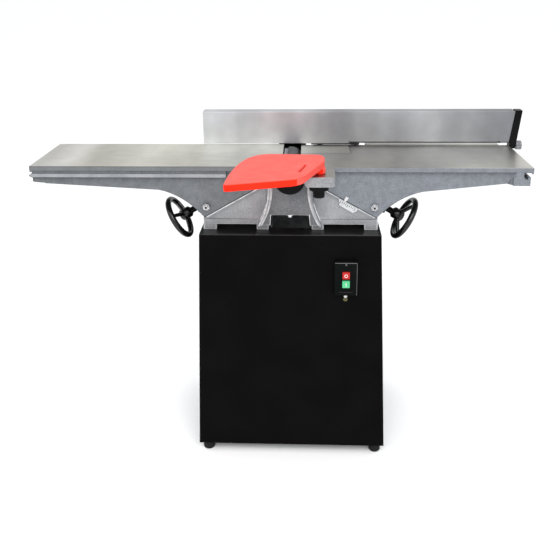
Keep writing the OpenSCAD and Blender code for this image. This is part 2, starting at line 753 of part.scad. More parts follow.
// Outline of a table's web, from the tower to the table's end
function web_outline(end_x, z_top, end_h) =
    let (lift = (seat + 0.2) / way_cos,
        low = [way_x + slide_out * way_cos, way_at(way_x + slide_out * way_cos) + lift],
        turn = [way_x + 112, z_top - web_bend_h])
    concat([[tower_half + 9, z_top - plate_t / 2], [tower_half + 9, way_at(tower_half + 9) + lift], low],
        bend(low, [way_x + 52, z_top - web_bend_h - 13], turn, 8),
        [[end_x - 30, z_top - end_h], [end_x - 30, z_top - plate_t / 2]]);

// Dovetail slide, thrust lug and its section across the way
module slide_block() on_way() {
    along_x(slide_in, slide_out) difference() {
        translate([web_in + 1, seat]) square([table_w - 2 * web_in - 2, slide_h - seat]);
        polygon([[rail_edge(-1) - gib_w - 2 * seat, -1],
            [rail_edge(rail_h + seat) - gib_w - 2 * seat, rail_h + seat],
            [rear(rail_edge(rail_h + seat)) + seat, rail_h + seat], [rear(rail_edge(-1)) + seat, -1]]);
    }
    box(slide_out - 1, lug_s + lug_l, mid_w - lug_w / 2, mid_w + lug_w / 2, rail_h + seat, slide_h);
    box(lug_s, lug_s + lug_l, mid_w - lug_w / 2, mid_w + lug_w / 2, 0.5, slide_h);
}

// C-shaped slot across a table's end, starting at a distance from the front
module end_slot(end_x, z_top, lip, front) {
    slot_bottom = z_top - plate_t - slot_h;
    wall_x = end_x - slot_d - end_wall;
    box(wall_x, end_x - slot_d, front, table_w, slot_bottom - end_lip, z_top - plate_t / 2);
    difference() {
        box(wall_x - 6, end_x + lip, front, table_w, slot_bottom - end_lip, slot_bottom);
        box(end_x + lip - 14, end_x + lip - 6, front - 1, table_w + 1, slot_bottom - 5, slot_bottom + 1);
    }
    box(end_x - 4, end_x, 0, table_w, z_top - plate_t - 3, z_top - plate_t / 2);
}

module table_casting(end_x, lip_x, z_top, shift, drop, lip, end_h, front) {
    difference() {
        union() {
            box(lip_x, end_x, 0, table_w, z_top - plate_t, z_top);
            for (y = [web_in, rear(web_in + web_t)]) along_y(y, y + web_t)
                polygon(web_outline(end_x, z_top, end_h));
            slide_block();
            end_slot(end_x, z_top, lip, front);
            for (x = [way_x + 118:rib_pitch:end_x - 70])
                box(x, x + 8, web_in + 1, rear(web_in + 1), z_top - 34, z_top - plate_t / 2);
            children();
        }
        rod_y(shift, axis_z - drop, -ledge_d - 5, table_w + 1, scoop_r);
        on_way() {
            rod_x(mid_w, screw_n, lug_s - 1, lug_s + lug_l + 1, screw_r + slip);
            rod_y(bolt_s, bolt_n, web_in - 1, rail_in + web_in, base_bolt_r + slip);
        }
    }
}

bar_h = 10;
bar_groove = 4;
bar_z = table_h - plate_t - 7;

// Bar below the plate's front edge, with a pointed end
module front_bar() {
    along_y(0, web_in + 3) polygon([[bar_x, bar_z], [outfeed_l - 4, bar_z],
        [outfeed_l + slot_lip, bar_z - bar_h / 2], [outfeed_l - 4, bar_z - bar_h], [bar_x, bar_z - bar_h]]);
    box(bar_x, outfeed_l - 4, bar_groove, web_in + 3, bar_z - 1, table_h - plate_t / 2);
}

module outfeed_table() place() color(ground) left()
    table_casting(outfeed_l, outfeed_lip, table_h, 0, 0, 0, web_end_h, web_in + 2) {
        front_bar();
        along_y(web_in + 1, web_in + web_t) polygon([[outfeed_l - 36, table_h - plate_t / 2],
            [outfeed_l - 36, table_h - web_end_h + 1], [outfeed_l - 3, table_h - web_end_h + 3],
            [outfeed_l - 3, table_h - plate_t / 2]]);
    }

ledge_r = 12;
gusset_x = infeed_l - slot_d - end_wall;
gusset_z = infeed_z - plate_t - slot_h - end_lip;
back_x = [ear_x[1] + 30, infeed_l - 24];
back_d = 24;
back_drop = 0.6;

module infeed_table() place() color(ground) difference() {
    table_casting(infeed_l, infeed_lip, infeed_z, infeed_shift, cut_depth, -6, web_end_h - 8, 0) {
        translate([0, 0, infeed_z - ledge_t]) linear_extrude(ledge_t)
            polygon(concat([[infeed_lip, 4], [infeed_lip, -ledge_d]],
                arc([ledge_x - ledge_r, ledge_r - ledge_d], ledge_r, -90, 0, 8), [[ledge_x, 4]]));
        translate([0, 0, gusset_z]) linear_extrude(infeed_z - plate_t / 2 - gusset_z)
            polygon([[gusset_x - web_in, web_in + 1], [gusset_x, 0], [gusset_x + 1, 0],
                [gusset_x + 1, web_in + 1]]);
        box(back_x[0], back_x[1], table_w - 2, table_w + back_d, infeed_z - plate_t, infeed_z - back_drop);
    }
    rod_z(post_x, -post_d, infeed_z - ledge_t - 1, infeed_z + 1, post_r + slip);
}

module gib() on_way() along_x(slide_in + 6, slide_out - 1)
    polygon([[rail_edge(0.5) - seat / 2, 0.5], [rail_edge(rail_h) - seat / 2, rail_h],
        [rail_edge(rail_h) - seat / 2 - gib_w, rail_h], [rail_edge(0.5) - seat / 2 - gib_w, 0.5]]);

module outfeed_gib() place() color(steel) left() gib();
module infeed_gib() place() color(steel) gib();

// Hexagon bolt with a jam nut, pressing on the gib
module lock_bolt() on_way() {
    rod_y(bolt_s, bolt_n, web_in - 12, rail_edge(rail_h) - gib_w - seat, base_bolt_r);
    translate([bolt_s, web_in, bolt_n]) rotate([90, 0, 0]) {
        cylinder(r = 9, h = 5, $fn = 6);
        translate([0, 0, 6]) cylinder(r = 8, h = 6, $fn = 6);
    }
}

module outfeed_lock_bolt() place() color(steel) left() lock_bolt();
module infeed_lock_bolt() place() color(steel) lock_bolt();

pointer_s = -86;

module depth_pointer() place() color(steel) on_way() {
    along_y(web_in - 3.2, web_in - 1.6)
        polygon([[pointer_s - 4, 12], [pointer_s + 4, 12], [pointer_s + 4, 4], [pointer_s, -3],
            [pointer_s - 4, 4]]);
    rod_y(pointer_s, 8, web_in - 5.2, web_in, 3.2);
}

screw_end = -130;
collar_r = 10;

module lift_screw() on_way() rod_x(mid_w, screw_n, screw_end, hub_s + hub_l / 2 + 4, screw_r);
module thrust_collar() on_way() difference() {
    rod_x(mid_w, screw_n, lug_s - 6.5, lug_s - 0.5, collar_r);
    rod_x(mid_w, screw_n, lug_s - 7, lug_s, screw_r + slip / 2);
}

spoke_n = 3;
spoke_r = 5;
hub_r = 14.5;
dish = 20;
dish_angle = atan(dish / wheel_r);

// Dished handwheel: round hub, sloping spokes, rim further out than the hub
module handwheel(turn) on_way() translate([hub_s, mid_w, screw_n]) rotate([0, 90, 0]) difference() {
    union() {
        translate([0, 0, dish]) rotate_extrude() translate([wheel_r, 0]) circle(r = rim_r);
        rotate_extrude() polygon([[0, -hub_l / 2], [hub_r - 5, -hub_l / 2], [hub_r, -hub_l / 2 + 6],
            [hub_r, hub_l / 2 - 5], [hub_r - 4, hub_l / 2], [0, hub_l / 2]]);
        for (i = [0:spoke_n - 1]) rotate([0, 90 - dish_angle, turn + i * 360 / spoke_n])
            cylinder(r = spoke_r, h = norm([wheel_r, dish]));
    }
    translate([0, 0, -hub_l]) cylinder(r = screw_r + slip / 2, h = 2 * hub_l);
}

module infeed_screw() place() color(steel) lift_screw();
module outfeed_screw() place() color(steel) left() lift_screw();
module infeed_collar() place() color(steel) thrust_collar();
module outfeed_collar() place() color(steel) left() thrust_collar();
module infeed_handwheel() place() color(black) handwheel(-40);
module outfeed_handwheel() place() color(black) left() handwheel(5);

post_r = 8;
nose = [-131, guard_front];
heel = [30, -178];
toe = [90, 14];
shoulder = [-48, 21];
guard_slot = [30.5, -101];
guard_slot_l = 57;
guard_slot_w = 6;
guard_slot_d = 2.8;
boss_r = 15;

// Long bulging side of the guard, from its shoulder to its nose
guard_side = [for (i = [0:12]) let (t = i / 12)
    pow(1 - t, 3) * shoulder + 3 * t * pow(1 - t, 2) * [-110, 18]
    + 3 * t * t * (1 - t) * [-128, -100] + pow(t, 3) * (nose + [0, 5])];

// Guard outline: slanting front, rounded heel and toe, bulging side
module guard_outline() {
    polygon(concat([nose + [5, 0], [6, -185]], bend([6, -185], heel, [40, -151], 6), [[80, -46]],
        bend([80, -46], toe, [60, 16], 8), guard_side));
}

module cutter_guard() place() color(red) difference() {
    union() {
        translate([0, 0, guard_z]) linear_extrude(guard_t) guard_outline();
        rod_z(post_x, -post_d, infeed_z + seat, guard_z + 1, boss_r);
    }
    difference() {
        translate([-20, -96, guard_z - 1]) linear_extrude(guard_t - 3) scale([0.88, 0.88])
            translate([20, 96]) guard_outline();
        rod_z(post_x, -post_d, guard_z - 2, guard_z + guard_t, boss_r + 2);
    }
    translate(guard_slot) rotate([0, 0, -15]) box(-guard_slot_w / 2, guard_slot_w / 2, -guard_slot_l / 2,
        guard_slot_l / 2, guard_z + guard_t - guard_slot_d, guard_z + guard_t + 1);
    rod_z(post_x, -post_d, infeed_z - 2, guard_z + guard_t - 4, post_r + slip / 2);
}

knob_r = 13.5;
knob_h = 32.5;
knob_collar_r = 22.5;
knob_collar_h = 14;
knob_z = infeed_z - ledge_t - knob_h - 0.5;

module guard_post() place() color(steel)
    rod_z(post_x, -post_d, knob_z + 6.5, guard_z + guard_t - 4.5, post_r);

// Spring knob below the ledge, with grip flutes
module guard_knob() place() color(black) translate([post_x, -post_d, knob_z]) difference() {
    union() {
        cylinder(r = knob_r, h = knob_h - 6);
        translate([0, 0, knob_h - knob_collar_h]) cylinder(r = knob_collar_r, h = knob_collar_h);
    }
    for (a = [0:30:330]) rotate([0, 0, a]) translate([knob_r + 1, 0, -1])
        cylinder(r = 2.5, h = knob_h - knob_collar_h - 3);
    translate([0, 0, 6]) cylinder(r = post_r + slip / 2, h = knob_h);
}

module fence_carriage() place() color(iron) difference() {
    union() {
        box(carriage_x[0], carriage_x[1], carriage_y[0], carriage_y[1], carriage_z, carriage_z + carriage_t);
        box(key_x - key_w / 2, key_x + key_w / 2, support_y + fence_travel + 3, carriage_y[1] - 5,
            carriage_z - key_h, carriage_z + 1);
        for (x = ear_x) along_x(x, x + ear_w) {
            translate([pivot_y, pivot_z]) circle(r = knuckle_r);
            polygon([[pivot_y, pivot_z - knuckle_r], [carriage_y[0] + 2, carriage_z],
                [carriage_y[0] + 20, carriage_z + 1], [carriage_y[0] + 20, carriage_z + carriage_t],
                [carriage_y[0] + 4, pivot_z + 4], [pivot_y, pivot_z + knuckle_r]]);
        }
    }
    for (x = ear_x) rod_x(pivot_y, pivot_z, x - 1, x + ear_w + 1, pin_r + slip / 2);
    box(lock_x - 7, lock_x + 7, lock_y - 3, lock_y + fence_travel + 3, carriage_z - 1,
        carriage_z + carriage_t + 1);
    for (y = [lock_y - 3, lock_y + fence_travel + 3])
        rod_z(lock_x, y, carriage_z - 1, carriage_z + carriage_t + 1, 7);
}

module pivot_pins() place() color(steel) {
    rod_x(pivot_y, pivot_z, ear_x[0] - 22, ear_x[0] + ear_w + 22, pin_r);
    rod_x(pivot_y, pivot_z, ear_x[1] - 24, ear_x[1] + ear_w + lever_gap - 1, pin_r);
}

rib_x = [-225, -125, -25, 40, 110, 215, 325, 430, 530];

module fence() place() color(ground) difference() {
    union() {
        box(-fence_l, fence_r + fence_lean + 5, fence_y, fence_y + fence_t, fence_z, fence_top);
        box(-fence_l, fence_r + fence_lean + 5, fence_y, fence_y + fence_d, fence_top - 10, fence_top);
        rod_x(pivot_y, pivot_z, -fence_l, fence_r + 10, bead_r);
        for (x = rib_x) along_x(x, x + 8) polygon([[fence_y + 8, pivot_z], [pivot_y + 9, pivot_z + 12],
            [fence_y + fence_d, fence_top - 9], [fence_y + 8, fence_top - 9]]);
    }
    along_y(fence_y - 1, fence_y + fence_d + 1) polygon([[fence_end(fence_z - 5), fence_z - 5],
        [fence_end(fence_z - 5) + 60, fence_z - 5], [fence_end(fence_top + 5) + 60, fence_top + 5],
        [fence_end(fence_top + 5), fence_top + 5]]);
    along_x(chamfer_x, fence_r + fence_lean + 6) polygon([[fence_y - 1, fence_z + chamfer + 1],
        [fence_y - 1, fence_z - 1], [fence_y + chamfer + 1, fence_z - 1]]);
    for (x = [[ear_x[0], ear_x[0] + ear_w], [ear_x[1], ear_x[1] + ear_w + lever_gap]])
        box(x[0] - 0.5, x[1] + 0.5, pivot_y - knuckle_r - 1, pivot_y + 40, fence_z - 1, pivot_z + bead_r + 2);
    rod_x(pivot_y, pivot_z, ear_x[0] - 24, ear_x[0] + ear_w + 24, pin_r + slip);
    rod_x(pivot_y, pivot_z, ear_x[1] - 26, ear_x[1], pin_r + slip);
}

end_foot = table_h - 13;

// Leaning end plate, reaching down past the table's end
module fence_end_plate() place() color(black) along_y(fence_y + 2, fence_y + 26) {
    polygon([[infeed_l + 2, end_foot], [fence_end(end_foot) + end_plate_w + 2, end_foot],
        [fence_end(fence_top + 2) + end_plate_w, fence_top + 2],
        [fence_end(fence_top + 2) + slip, fence_top + 2], [fence_end(fence_z + 1) + slip, fence_z + 1],
        [infeed_l + 2, fence_z + 1]]);
}

module fence_end_nut() place() color(steel) difference() {
    rod_x(fence_y + 13, end_nut_z, end_nut_x, end_nut_x + end_nut_l, end_nut_r);
    for (a = [0:20:340]) translate([0, fence_y + 13, end_nut_z]) rotate([a, 0, 0])
        rod_x(end_nut_r + 0.6, 0, fence_r, x_max + 5, 1.2);
}

lever_l = 78;

// Ball-ended handle along X
module lever(r, ball) {
    rotate([0, 90, 0]) cylinder(r = r, h = lever_l);
    translate([lever_l, 0, 0]) sphere(r = ball);
}

module fence_lock_lever() place() color(black) translate([lock_x, lock_y, 0]) {
    rod_z(0, 0, carriage_z - support_t - 6, carriage_z + carriage_t + 24, lock_r);
    rod_z(0, 0, carriage_z + carriage_t + seat, carriage_z + carriage_t + 3, 15);
    rod_z(0, 0, carriage_z + carriage_t + 2.9, carriage_z + carriage_t + 22, 11);
    translate([0, 0, carriage_z + carriage_t + 14]) rotate([0, -15, 20]) lever(5, 9);
}

tilt_lever_x = ear_x[1] + ear_w + seat;

module tilt_lock_lever() place() color(black) translate([tilt_lever_x, pivot_y, pivot_z]) difference() {
    union() {
        rod_x(0, 0, 0, lever_gap - 2, knuckle_r);
        translate([lever_gap - 6, 0, 0]) rotate([14, 0, 90]) lever(4.5, 8);
    }
    rod_x(0, 0, -1, lever_gap, pin_r + slip);
}

cabinet_shell();
cabinet_top();
rear_panel();
cover_screws();
rubber_feet();
foot_studs();
base_casting();
base_bolts();
front_bearing_block();
rear_bearing_block();
head_bearings();
block_bolts();
lift_nuts();
chip_chute();
dust_port();
motor_shelf();
motor_housing();
motor_bolts();
drive_belt();
belt_guard();
switch_box();
switch_plate();
earth_terminal();
depth_scale();
fence_support();
support_bolts();
cutterhead();
knives();
knife_wedges();
wedge_screws();
head_pulley();
motor_shaft();
motor_pulley();
outfeed_table();
outfeed_gib();
outfeed_lock_bolt();
outfeed_screw();
outfeed_handwheel();
outfeed_collar();
infeed_table();
infeed_gib();
infeed_lock_bolt();
depth_pointer();
infeed_screw();
infeed_handwheel();
infeed_collar();
cutter_guard();
guard_post();
guard_knob();
fence_carriage();
pivot_pins();
fence();
fence_end_plate();
fence_end_nut();
fence_lock_lever();
tilt_lock_lever();
start_button();
stop_button();
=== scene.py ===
# %% [markdown]
# # A floor-standing jointer, from frame to finish
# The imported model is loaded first: every rigid piece is already there, at its real size, on the body it
# moves with. This lesson sets the camera and the light, mixes the finishes, softens the hard edges, and
# then models by hand what plain solids lack.

# %% Load the frame
import json
import math
import bpy
import numpy as np
from mathutils import Matrix, Vector


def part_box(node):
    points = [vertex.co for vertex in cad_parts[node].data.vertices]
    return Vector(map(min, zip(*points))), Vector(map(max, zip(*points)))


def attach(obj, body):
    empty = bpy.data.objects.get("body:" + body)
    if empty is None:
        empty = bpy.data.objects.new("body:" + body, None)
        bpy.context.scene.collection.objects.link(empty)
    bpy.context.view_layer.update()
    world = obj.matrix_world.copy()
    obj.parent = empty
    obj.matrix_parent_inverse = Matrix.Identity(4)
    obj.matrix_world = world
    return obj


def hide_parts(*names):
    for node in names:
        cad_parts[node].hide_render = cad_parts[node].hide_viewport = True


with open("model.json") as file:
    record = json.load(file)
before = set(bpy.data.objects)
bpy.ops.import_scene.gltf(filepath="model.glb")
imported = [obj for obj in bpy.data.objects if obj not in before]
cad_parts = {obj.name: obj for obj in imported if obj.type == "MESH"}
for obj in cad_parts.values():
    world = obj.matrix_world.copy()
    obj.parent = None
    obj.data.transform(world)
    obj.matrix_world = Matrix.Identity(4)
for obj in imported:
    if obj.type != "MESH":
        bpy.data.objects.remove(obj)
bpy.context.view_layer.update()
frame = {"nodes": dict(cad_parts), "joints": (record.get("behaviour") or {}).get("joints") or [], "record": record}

nodes = frame["nodes"]
scene = bpy.context.scene
scene.view_settings.view_transform = "Standard"
print("pieces in the frame:", len(nodes))

# %% [markdown]
# ## The camera
# A product shot like this is taken from the front, at about eye height, looking down a little. The lens
# is slightly long, so the tables keep their length. A vertical shift frames the machine without tilting
# the camera more, which would make the cabinet's sides lean.

# %% Place the camera
CAMERA_AT = (0.0569, -1.6558, 1.2426)
LOOK_DOWN = math.radians(16.511)
LOOK_LEFT = math.radians(2.5)
CAMERA_ROLL = math.radians(-0.603)

camera_data = bpy.data.cameras.new("camera")
camera_data.lens = 43.54
camera_data.sensor_width = 36.0
camera_data.shift_y = -0.2
camera_data.clip_start = 0.05
camera = bpy.data.objects.new("camera", camera_data)
scene.collection.objects.link(camera)
turned = (Matrix.Rotation(LOOK_LEFT, 4, "Z") @ Matrix.Rotation(math.pi / 2 - LOOK_DOWN, 4, "X")
          @ Matrix.Rotation(CAMERA_ROLL, 4, "Z"))
camera.matrix_world = Matrix.Translation(CAMERA_AT) @ turned
scene.camera = camera
print("camera at", [round(v, 3) for v in CAMERA_AT])

# %% [markdown]
# ## A white room
# The studio is a white room. It could be built from walls, but a world shader is simpler: plain white for
# the camera, for reflections and for glass, and an even, slightly cool fill for everything else.

# %% White world
world = bpy.data.worlds.new("white_room")
scene.world = world
world.use_nodes = True
tree = world.node_tree
tree.nodes.clear()
path = tree.nodes.new("ShaderNodeLightPath")
camera_or_gloss = tree.nodes.new("ShaderNodeMath")
camera_or_gloss.operation = "MAXIMUM"
seen = tree.nodes.new("ShaderNodeMath")
seen.operation = "MAXIMUM"
fill = tree.nodes.new("ShaderNodeBackground")
fill.inputs["Color"].default_value = (0.98, 0.99, 1.0, 1)
fill.inputs["Strength"].default_value = 1.06
white = tree.nodes.new("ShaderNodeBackground")
white.inputs["Color"].default_value = (1, 1, 1, 1)
white.inputs["Strength"].default_value = 1.0
either = tree.nodes.new("ShaderNodeMixShader")
surroundings = tree.nodes.new("ShaderNodeOutputWorld")
tree.links.new(path.outputs["Is Camera Ray"], camera_or_gloss.inputs[0])
tree.links.new(path.outputs["Is Glossy Ray"], camera_or_gloss.inputs[1])
tree.links.new(camera_or_gloss.outputs[0], seen.inputs[0])
tree.links.new(path.outputs["Is Transmission Ray"], seen.inputs[1])
tree.links.new(seen.outputs[0], either.inputs[0])
tree.links.new(fill.outputs[0], either.inputs[1])
tree.links.new(white.outputs[0], either.inputs[2])
tree.links.new(either.outputs[0], surroundings.inputs["Surface"])
print("world: white for camera, gloss and glass")

# %% [markdown]
# ## Lamps
# One large soft lamp hangs over the front, so the floor before the machine stays bright and the shadow
# falls behind it. A weaker one at the left opens the dark side. Area lamps are used because their size
# sets how soft the shadow is.


# %% Soft lamps
def softbox(name, place, aim, size, power):
    lamp_data = bpy.data.lights.new(name, "AREA")
    lamp_data.shape = "RECTANGLE"
    lamp_data.size, lamp_data.size_y = size
    lamp_data.energy = power
    lamp = bpy.data.objects.new(name, lamp_data)
    scene.collection.objects.link(lamp)
    lamp.location = place
    lamp.rotation_euler = (Vector(aim) - Vector(place)).to_track_quat("-Z", "Y").to_euler()


softbox("key_light", place=(0.4, -2.4, 2.6), aim=(0, -0.4, 0.2), size=(2.6, 1.6), power=70)
softbox("fill_light", place=(-2.4, -1.0, 1.8), aim=(0, 0, 0.6), size=(1.4, 1.8), power=14)

# %% [markdown]
# ## The floor
# The floor is a plain pale sheet, much larger than the picture, so that its edge never shows. It keeps
# the soft shadow that sets the machine on the ground.

# %% Pale floor
FLOOR_SIZE = 120
bpy.ops.object.select_all(action="DESELECT")
bpy.ops.mesh.primitive_plane_add(size=FLOOR_SIZE, location=(0, 0, 0))
floor = bpy.context.object
floor.name = "floor"
floor_paint = bpy.data.materials.new("floor_paint")
floor_paint.use_nodes = True
floor_shader = floor_paint.node_tree.nodes["Principled BSDF"]
floor_shader.inputs["Base Color"].default_value = (0.96, 0.96, 0.96, 1)
floor_shader.inputs["Roughness"].default_value = 0.9
floor.data.materials.append(floor_paint)
print("floor:", floor.dimensions[:2])

# %% [markdown]
# ## Finishes
# Every finish is a Principled shader whose colour, roughness and relief come from noise on Object
# coordinates, so the pattern stays on the piece when it moves. A few small helpers do the wiring: one
# starts a finish, one makes noise, one turns it into tones, one spreads it over a range, one multiplies
# two colours, and one makes relief.


# %% Finish helpers
def finish(name, roughness, metallic=0.0, gloss=0.5):
    paint = bpy.data.materials.new(name)
    paint.use_nodes = True
    shader = paint.node_tree.nodes["Principled BSDF"]
    shader.inputs["Roughness"].default_value = roughness
    shader.inputs["Metallic"].default_value = metallic
    shader.inputs["Specular IOR Level"].default_value = gloss
    return paint, shader


def noise(paint, scale, detail=3.0, stretch=(1, 1, 1)):
    new, wire = paint.node_tree.nodes.new, paint.node_tree.links.new
    place = new("ShaderNodeTexCoord")
    mapping = new("ShaderNodeMapping")
    mapping.inputs["Scale"].default_value = stretch
    texture = new("ShaderNodeTexNoise")
    texture.inputs["Scale"].default_value = scale
    texture.inputs["Detail"].default_value = detail
    wire(place.outputs["Object"], mapping.inputs["Vector"])
    wire(mapping.outputs["Vector"], texture.inputs["Vector"])
    return texture.outputs["Fac"]


def tones(paint, amount, dark, light, low=0.35, high=0.65):
    ramp = paint.node_tree.nodes.new("ShaderNodeValToRGB")
    for stop, position, colour in zip(ramp.color_ramp.elements, (low, high), (dark, light)):
        stop.position = position
        stop.color = (*colour, 1)
    paint.node_tree.links.new(amount, ramp.inputs["Fac"])
    return ramp.outputs["Color"]


def spread(paint, amount, low, high):
    rescale = paint.node_tree.nodes.new("ShaderNodeMapRange")
    rescale.inputs["From Min"].default_value = 0.3
    rescale.inputs["From Max"].default_value = 0.7
    rescale.inputs["To Min"].default_value = low
    rescale.inputs["To Max"].default_value = high
    paint.node_tree.links.new(amount, rescale.inputs["Value"])
    return rescale.outputs["Result"]


def times(paint, colour, other):
    product = paint.node_tree.nodes.new("ShaderNodeMixRGB")
    product.blend_type = "MULTIPLY"
    product.inputs["Fac"].default_value = 1.0
    paint.node_tree.links.new(colour, product.inputs["Color1"])
    paint.node_tree.links.new(other, product.inputs["Color2"])
    return product.outputs["Color"]


def relief(paint, shader, amount, strength, depth=0.0005):
    bump = paint.node_tree.nodes.new("ShaderNodeBump")
    bump.inputs["Strength"].default_value = strength
    bump.inputs["Distance"].default_value = depth
    paint.node_tree.links.new(amount, bump.inputs["Height"])
    paint.node_tree.links.new(bump.outputs["Normal"], shader.inputs["Normal"])


print("finish helpers ready")

# %% [markdown]
# ## Paint, plastic and rubber
# The cabinet is powder coated: nearly black, satin, with a fine orange peel. The castings are sprayed
# silver over rough iron, so their grain is coarser and their paint is flecked. The guard's red is smooth.
# Black moulded pieces differ mostly in gloss. One function mixes them all, because a paint is always
# patches of two tones, a little change of roughness, and grain.


# %% Painted finishes
FLECK_SCALE = 300
finishes = {}


def grey(value):
    return (value, value, value)


def coat(name, dark, light, roughness, grain, bump, metallic=0.0, patch=9, gloss=0.5, fleck=0.0):
    paint, shader = finish(name, roughness, metallic, gloss)
    wire = paint.node_tree.links.new
    colour = tones(paint, noise(paint, patch), dark, light)
    if fleck:
        flecks = noise(paint, FLECK_SCALE, 2.0)
        colour = times(paint, colour, tones(paint, flecks, grey(1 - fleck), grey(1 + fleck), 0.3, 0.7))
    wire(colour, shader.inputs["Base Color"])
    sheen = spread(paint, noise(paint, patch * 3), roughness - 0.06, roughness + 0.06)
    wire(sheen, shader.inputs["Roughness"])
    relief(paint, shader, noise(paint, grain), bump)
    finishes[name] = paint


coat("cabinet_paint", (0.0024, 0.0022, 0.0023), (0.0034, 0.0031, 0.0032), 0.42, 900, 0.10, gloss=0.02)
coat("casting_paint", (0.18, 0.188, 0.198), (0.235, 0.243, 0.257), 0.46, 380, 0.5,
     metallic=0.3, patch=22, gloss=0.4, fleck=0.14)
coat("guard_paint", (0.72, 0.060, 0.040), (0.78, 0.070, 0.048), 0.42, 700, 0.05, gloss=0.35)
coat("black_enamel", grey(0.003), grey(0.006), 0.3, 500, 0.12, gloss=0.06)
coat("wheel_black", grey(0.003), grey(0.006), 0.26, 350, 0.10, gloss=0.4)
coat("switch_black", (0.003, 0.0036, 0.0036), (0.005, 0.006, 0.006), 0.45, 1400, 0.15, gloss=0.015)
coat("button_red", (0.34, 0.016, 0.013), (0.42, 0.022, 0.018), 0.4, 900, 0.05, patch=60, gloss=0.15)
coat("button_green", (0.072, 0.40, 0.180), (0.092, 0.48, 0.225), 0.4, 900, 0.05, patch=60, gloss=0.15)
coat("rubber_black", grey(0.006), grey(0.012), 0.78, 1100, 0.3, gloss=0.2)
coat("belt_rubber", grey(0.008), grey(0.016), 0.7, 1600, 0.4, gloss=0.2)
coat("motor_paint", (0.045, 0.05, 0.06), (0.065, 0.07, 0.08), 0.45, 500, 0.25)
print("painted finishes:", ", ".join(finishes))

# %% [markdown]
# ## Paints for edges, painted light and shade, and marks
# Bright edges are partly silver paint worn thin and partly a painted highlight. The castings get lit and shaded
# copies of their paint, which are painted light and painted shade, and the outfeed table gets a darker copy of the
# table paint as painted shade. The same function gives the painted shade along joints and under edges, the guard's
# painted side shading and the painted shade in its slot, the brighter rim of a plate, and the print of small
# marks.

# %% Edge, painted light and shade, and mark paints
# Bright bevel paint: partly worn silver paint, partly a painted highlight.
coat("casting_edge", (0.46, 0.467, 0.475), (0.80, 0.81, 0.82), 0.4, 420, 0.35,
     metallic=0.2, patch=70, gloss=0.5, fleck=0.15)
# Lit and shaded copies of the casting paint: painted light and painted shade.
coat("casting_light", (0.225, 0.232, 0.242), (0.295, 0.302, 0.314), 0.44, 380, 0.6,
     metallic=0.3, patch=22, gloss=0.45, fleck=0.2)
coat("casting_shade", (0.100, 0.105, 0.113), (0.140, 0.146, 0.155), 0.46, 380, 0.6,
     metallic=0.3, patch=22, gloss=0.4, fleck=0.2)
# A darker copy of the table paint: painted shade on the outfeed table.
coat("outfeed_shaded_paint", (0.112, 0.120, 0.127), (0.138, 0.146, 0.155), 0.5, 380, 0.5,
     metallic=0.2, patch=60, gloss=0.3, fleck=0.12)
coat("outfeed_plate", (0.115, 0.120, 0.126), (0.140, 0.146, 0.153), 0.5, 380, 0.3,
     metallic=0.2, patch=22, gloss=0.3, fleck=0.08)
coat("outfeed_bar", (0.21, 0.218, 0.232), (0.27, 0.278, 0.294), 0.5, 380, 0.3,
     metallic=0.2, patch=22, gloss=0.3, fleck=0.08)
coat("infeed_paint", (0.150, 0.161, 0.180), (0.178, 0.191, 0.213), 0.5, 380, 0.6,
     metallic=0.2, patch=70, gloss=0.3, fleck=0.13)
# Painted shade for joints, corners and undersides.
coat("joint_shade", (0.030, 0.031, 0.033), (0.050, 0.051, 0.054), 0.6, 420, 0.2, gloss=0.2)
coat("cabinet_cover", grey(0.004), grey(0.007), 0.32, 900, 0.1, gloss=0.35)
coat("switch_edge", grey(0.07), grey(0.14), 0.45, 900, 0.1, gloss=0.3)
coat("knob_black", grey(0.003), grey(0.006), 0.3, 500, 0.1, gloss=0.06)
coat("plate_line", grey(0.014), grey(0.022), 0.5, 900, 0.1, gloss=0.1)
coat("plate_rim", (0.10, 0.10, 0.105), (0.15, 0.15, 0.155), 0.5, 900, 0.1, gloss=0.2)
# Painted shading for the guard's sides and painted shade for the floor of its slot.
coat("guard_side", (0.88, 0.018, 0.006), (0.94, 0.024, 0.008), 0.5, 700, 0.05, gloss=0.06)
coat("guard_slot_shade", (0.36, 0.010, 0.005), (0.44, 0.014, 0.007), 0.6, 700, 0.05, gloss=0.06)
coat("mark_white", (0.62, 0.62, 0.60), (0.72, 0.72, 0.70), 0.5, 900, 0.05, patch=60)
coat("mark_black", grey(0.02), grey(0.035), 0.6, 900, 0.05, patch=60)
coat("label_olive", (0.045, 0.043, 0.006), (0.065, 0.060, 0.009), 0.5, 900, 0.05, patch=60)
print("paints in all:", len(finishes))

# %% [markdown]
# ## Bare metals
# Turned and milled metal carries fine lines from the tool. The noise is drawn out into lines by giving
# each axis its own scale, and the same lines drive the roughness and the relief, so gloss and grain
# agree.


# %% Metals
def metal(name, dark, light, roughness, streak, stretch, bump, patch):
    paint, shader = finish(name, roughness, 1.0)
    wire = paint.node_tree.links.new
    wire(tones(paint, noise(paint, patch), dark, light), shader.inputs["Base Color"])
    lines = noise(paint, streak, 4.0, stretch)
    wire(spread(paint, lines, roughness - 0.08, roughness + 0.10), shader.inputs["Roughness"])
    relief(paint, shader, lines, bump, 0.0002)
    finishes[name] = paint


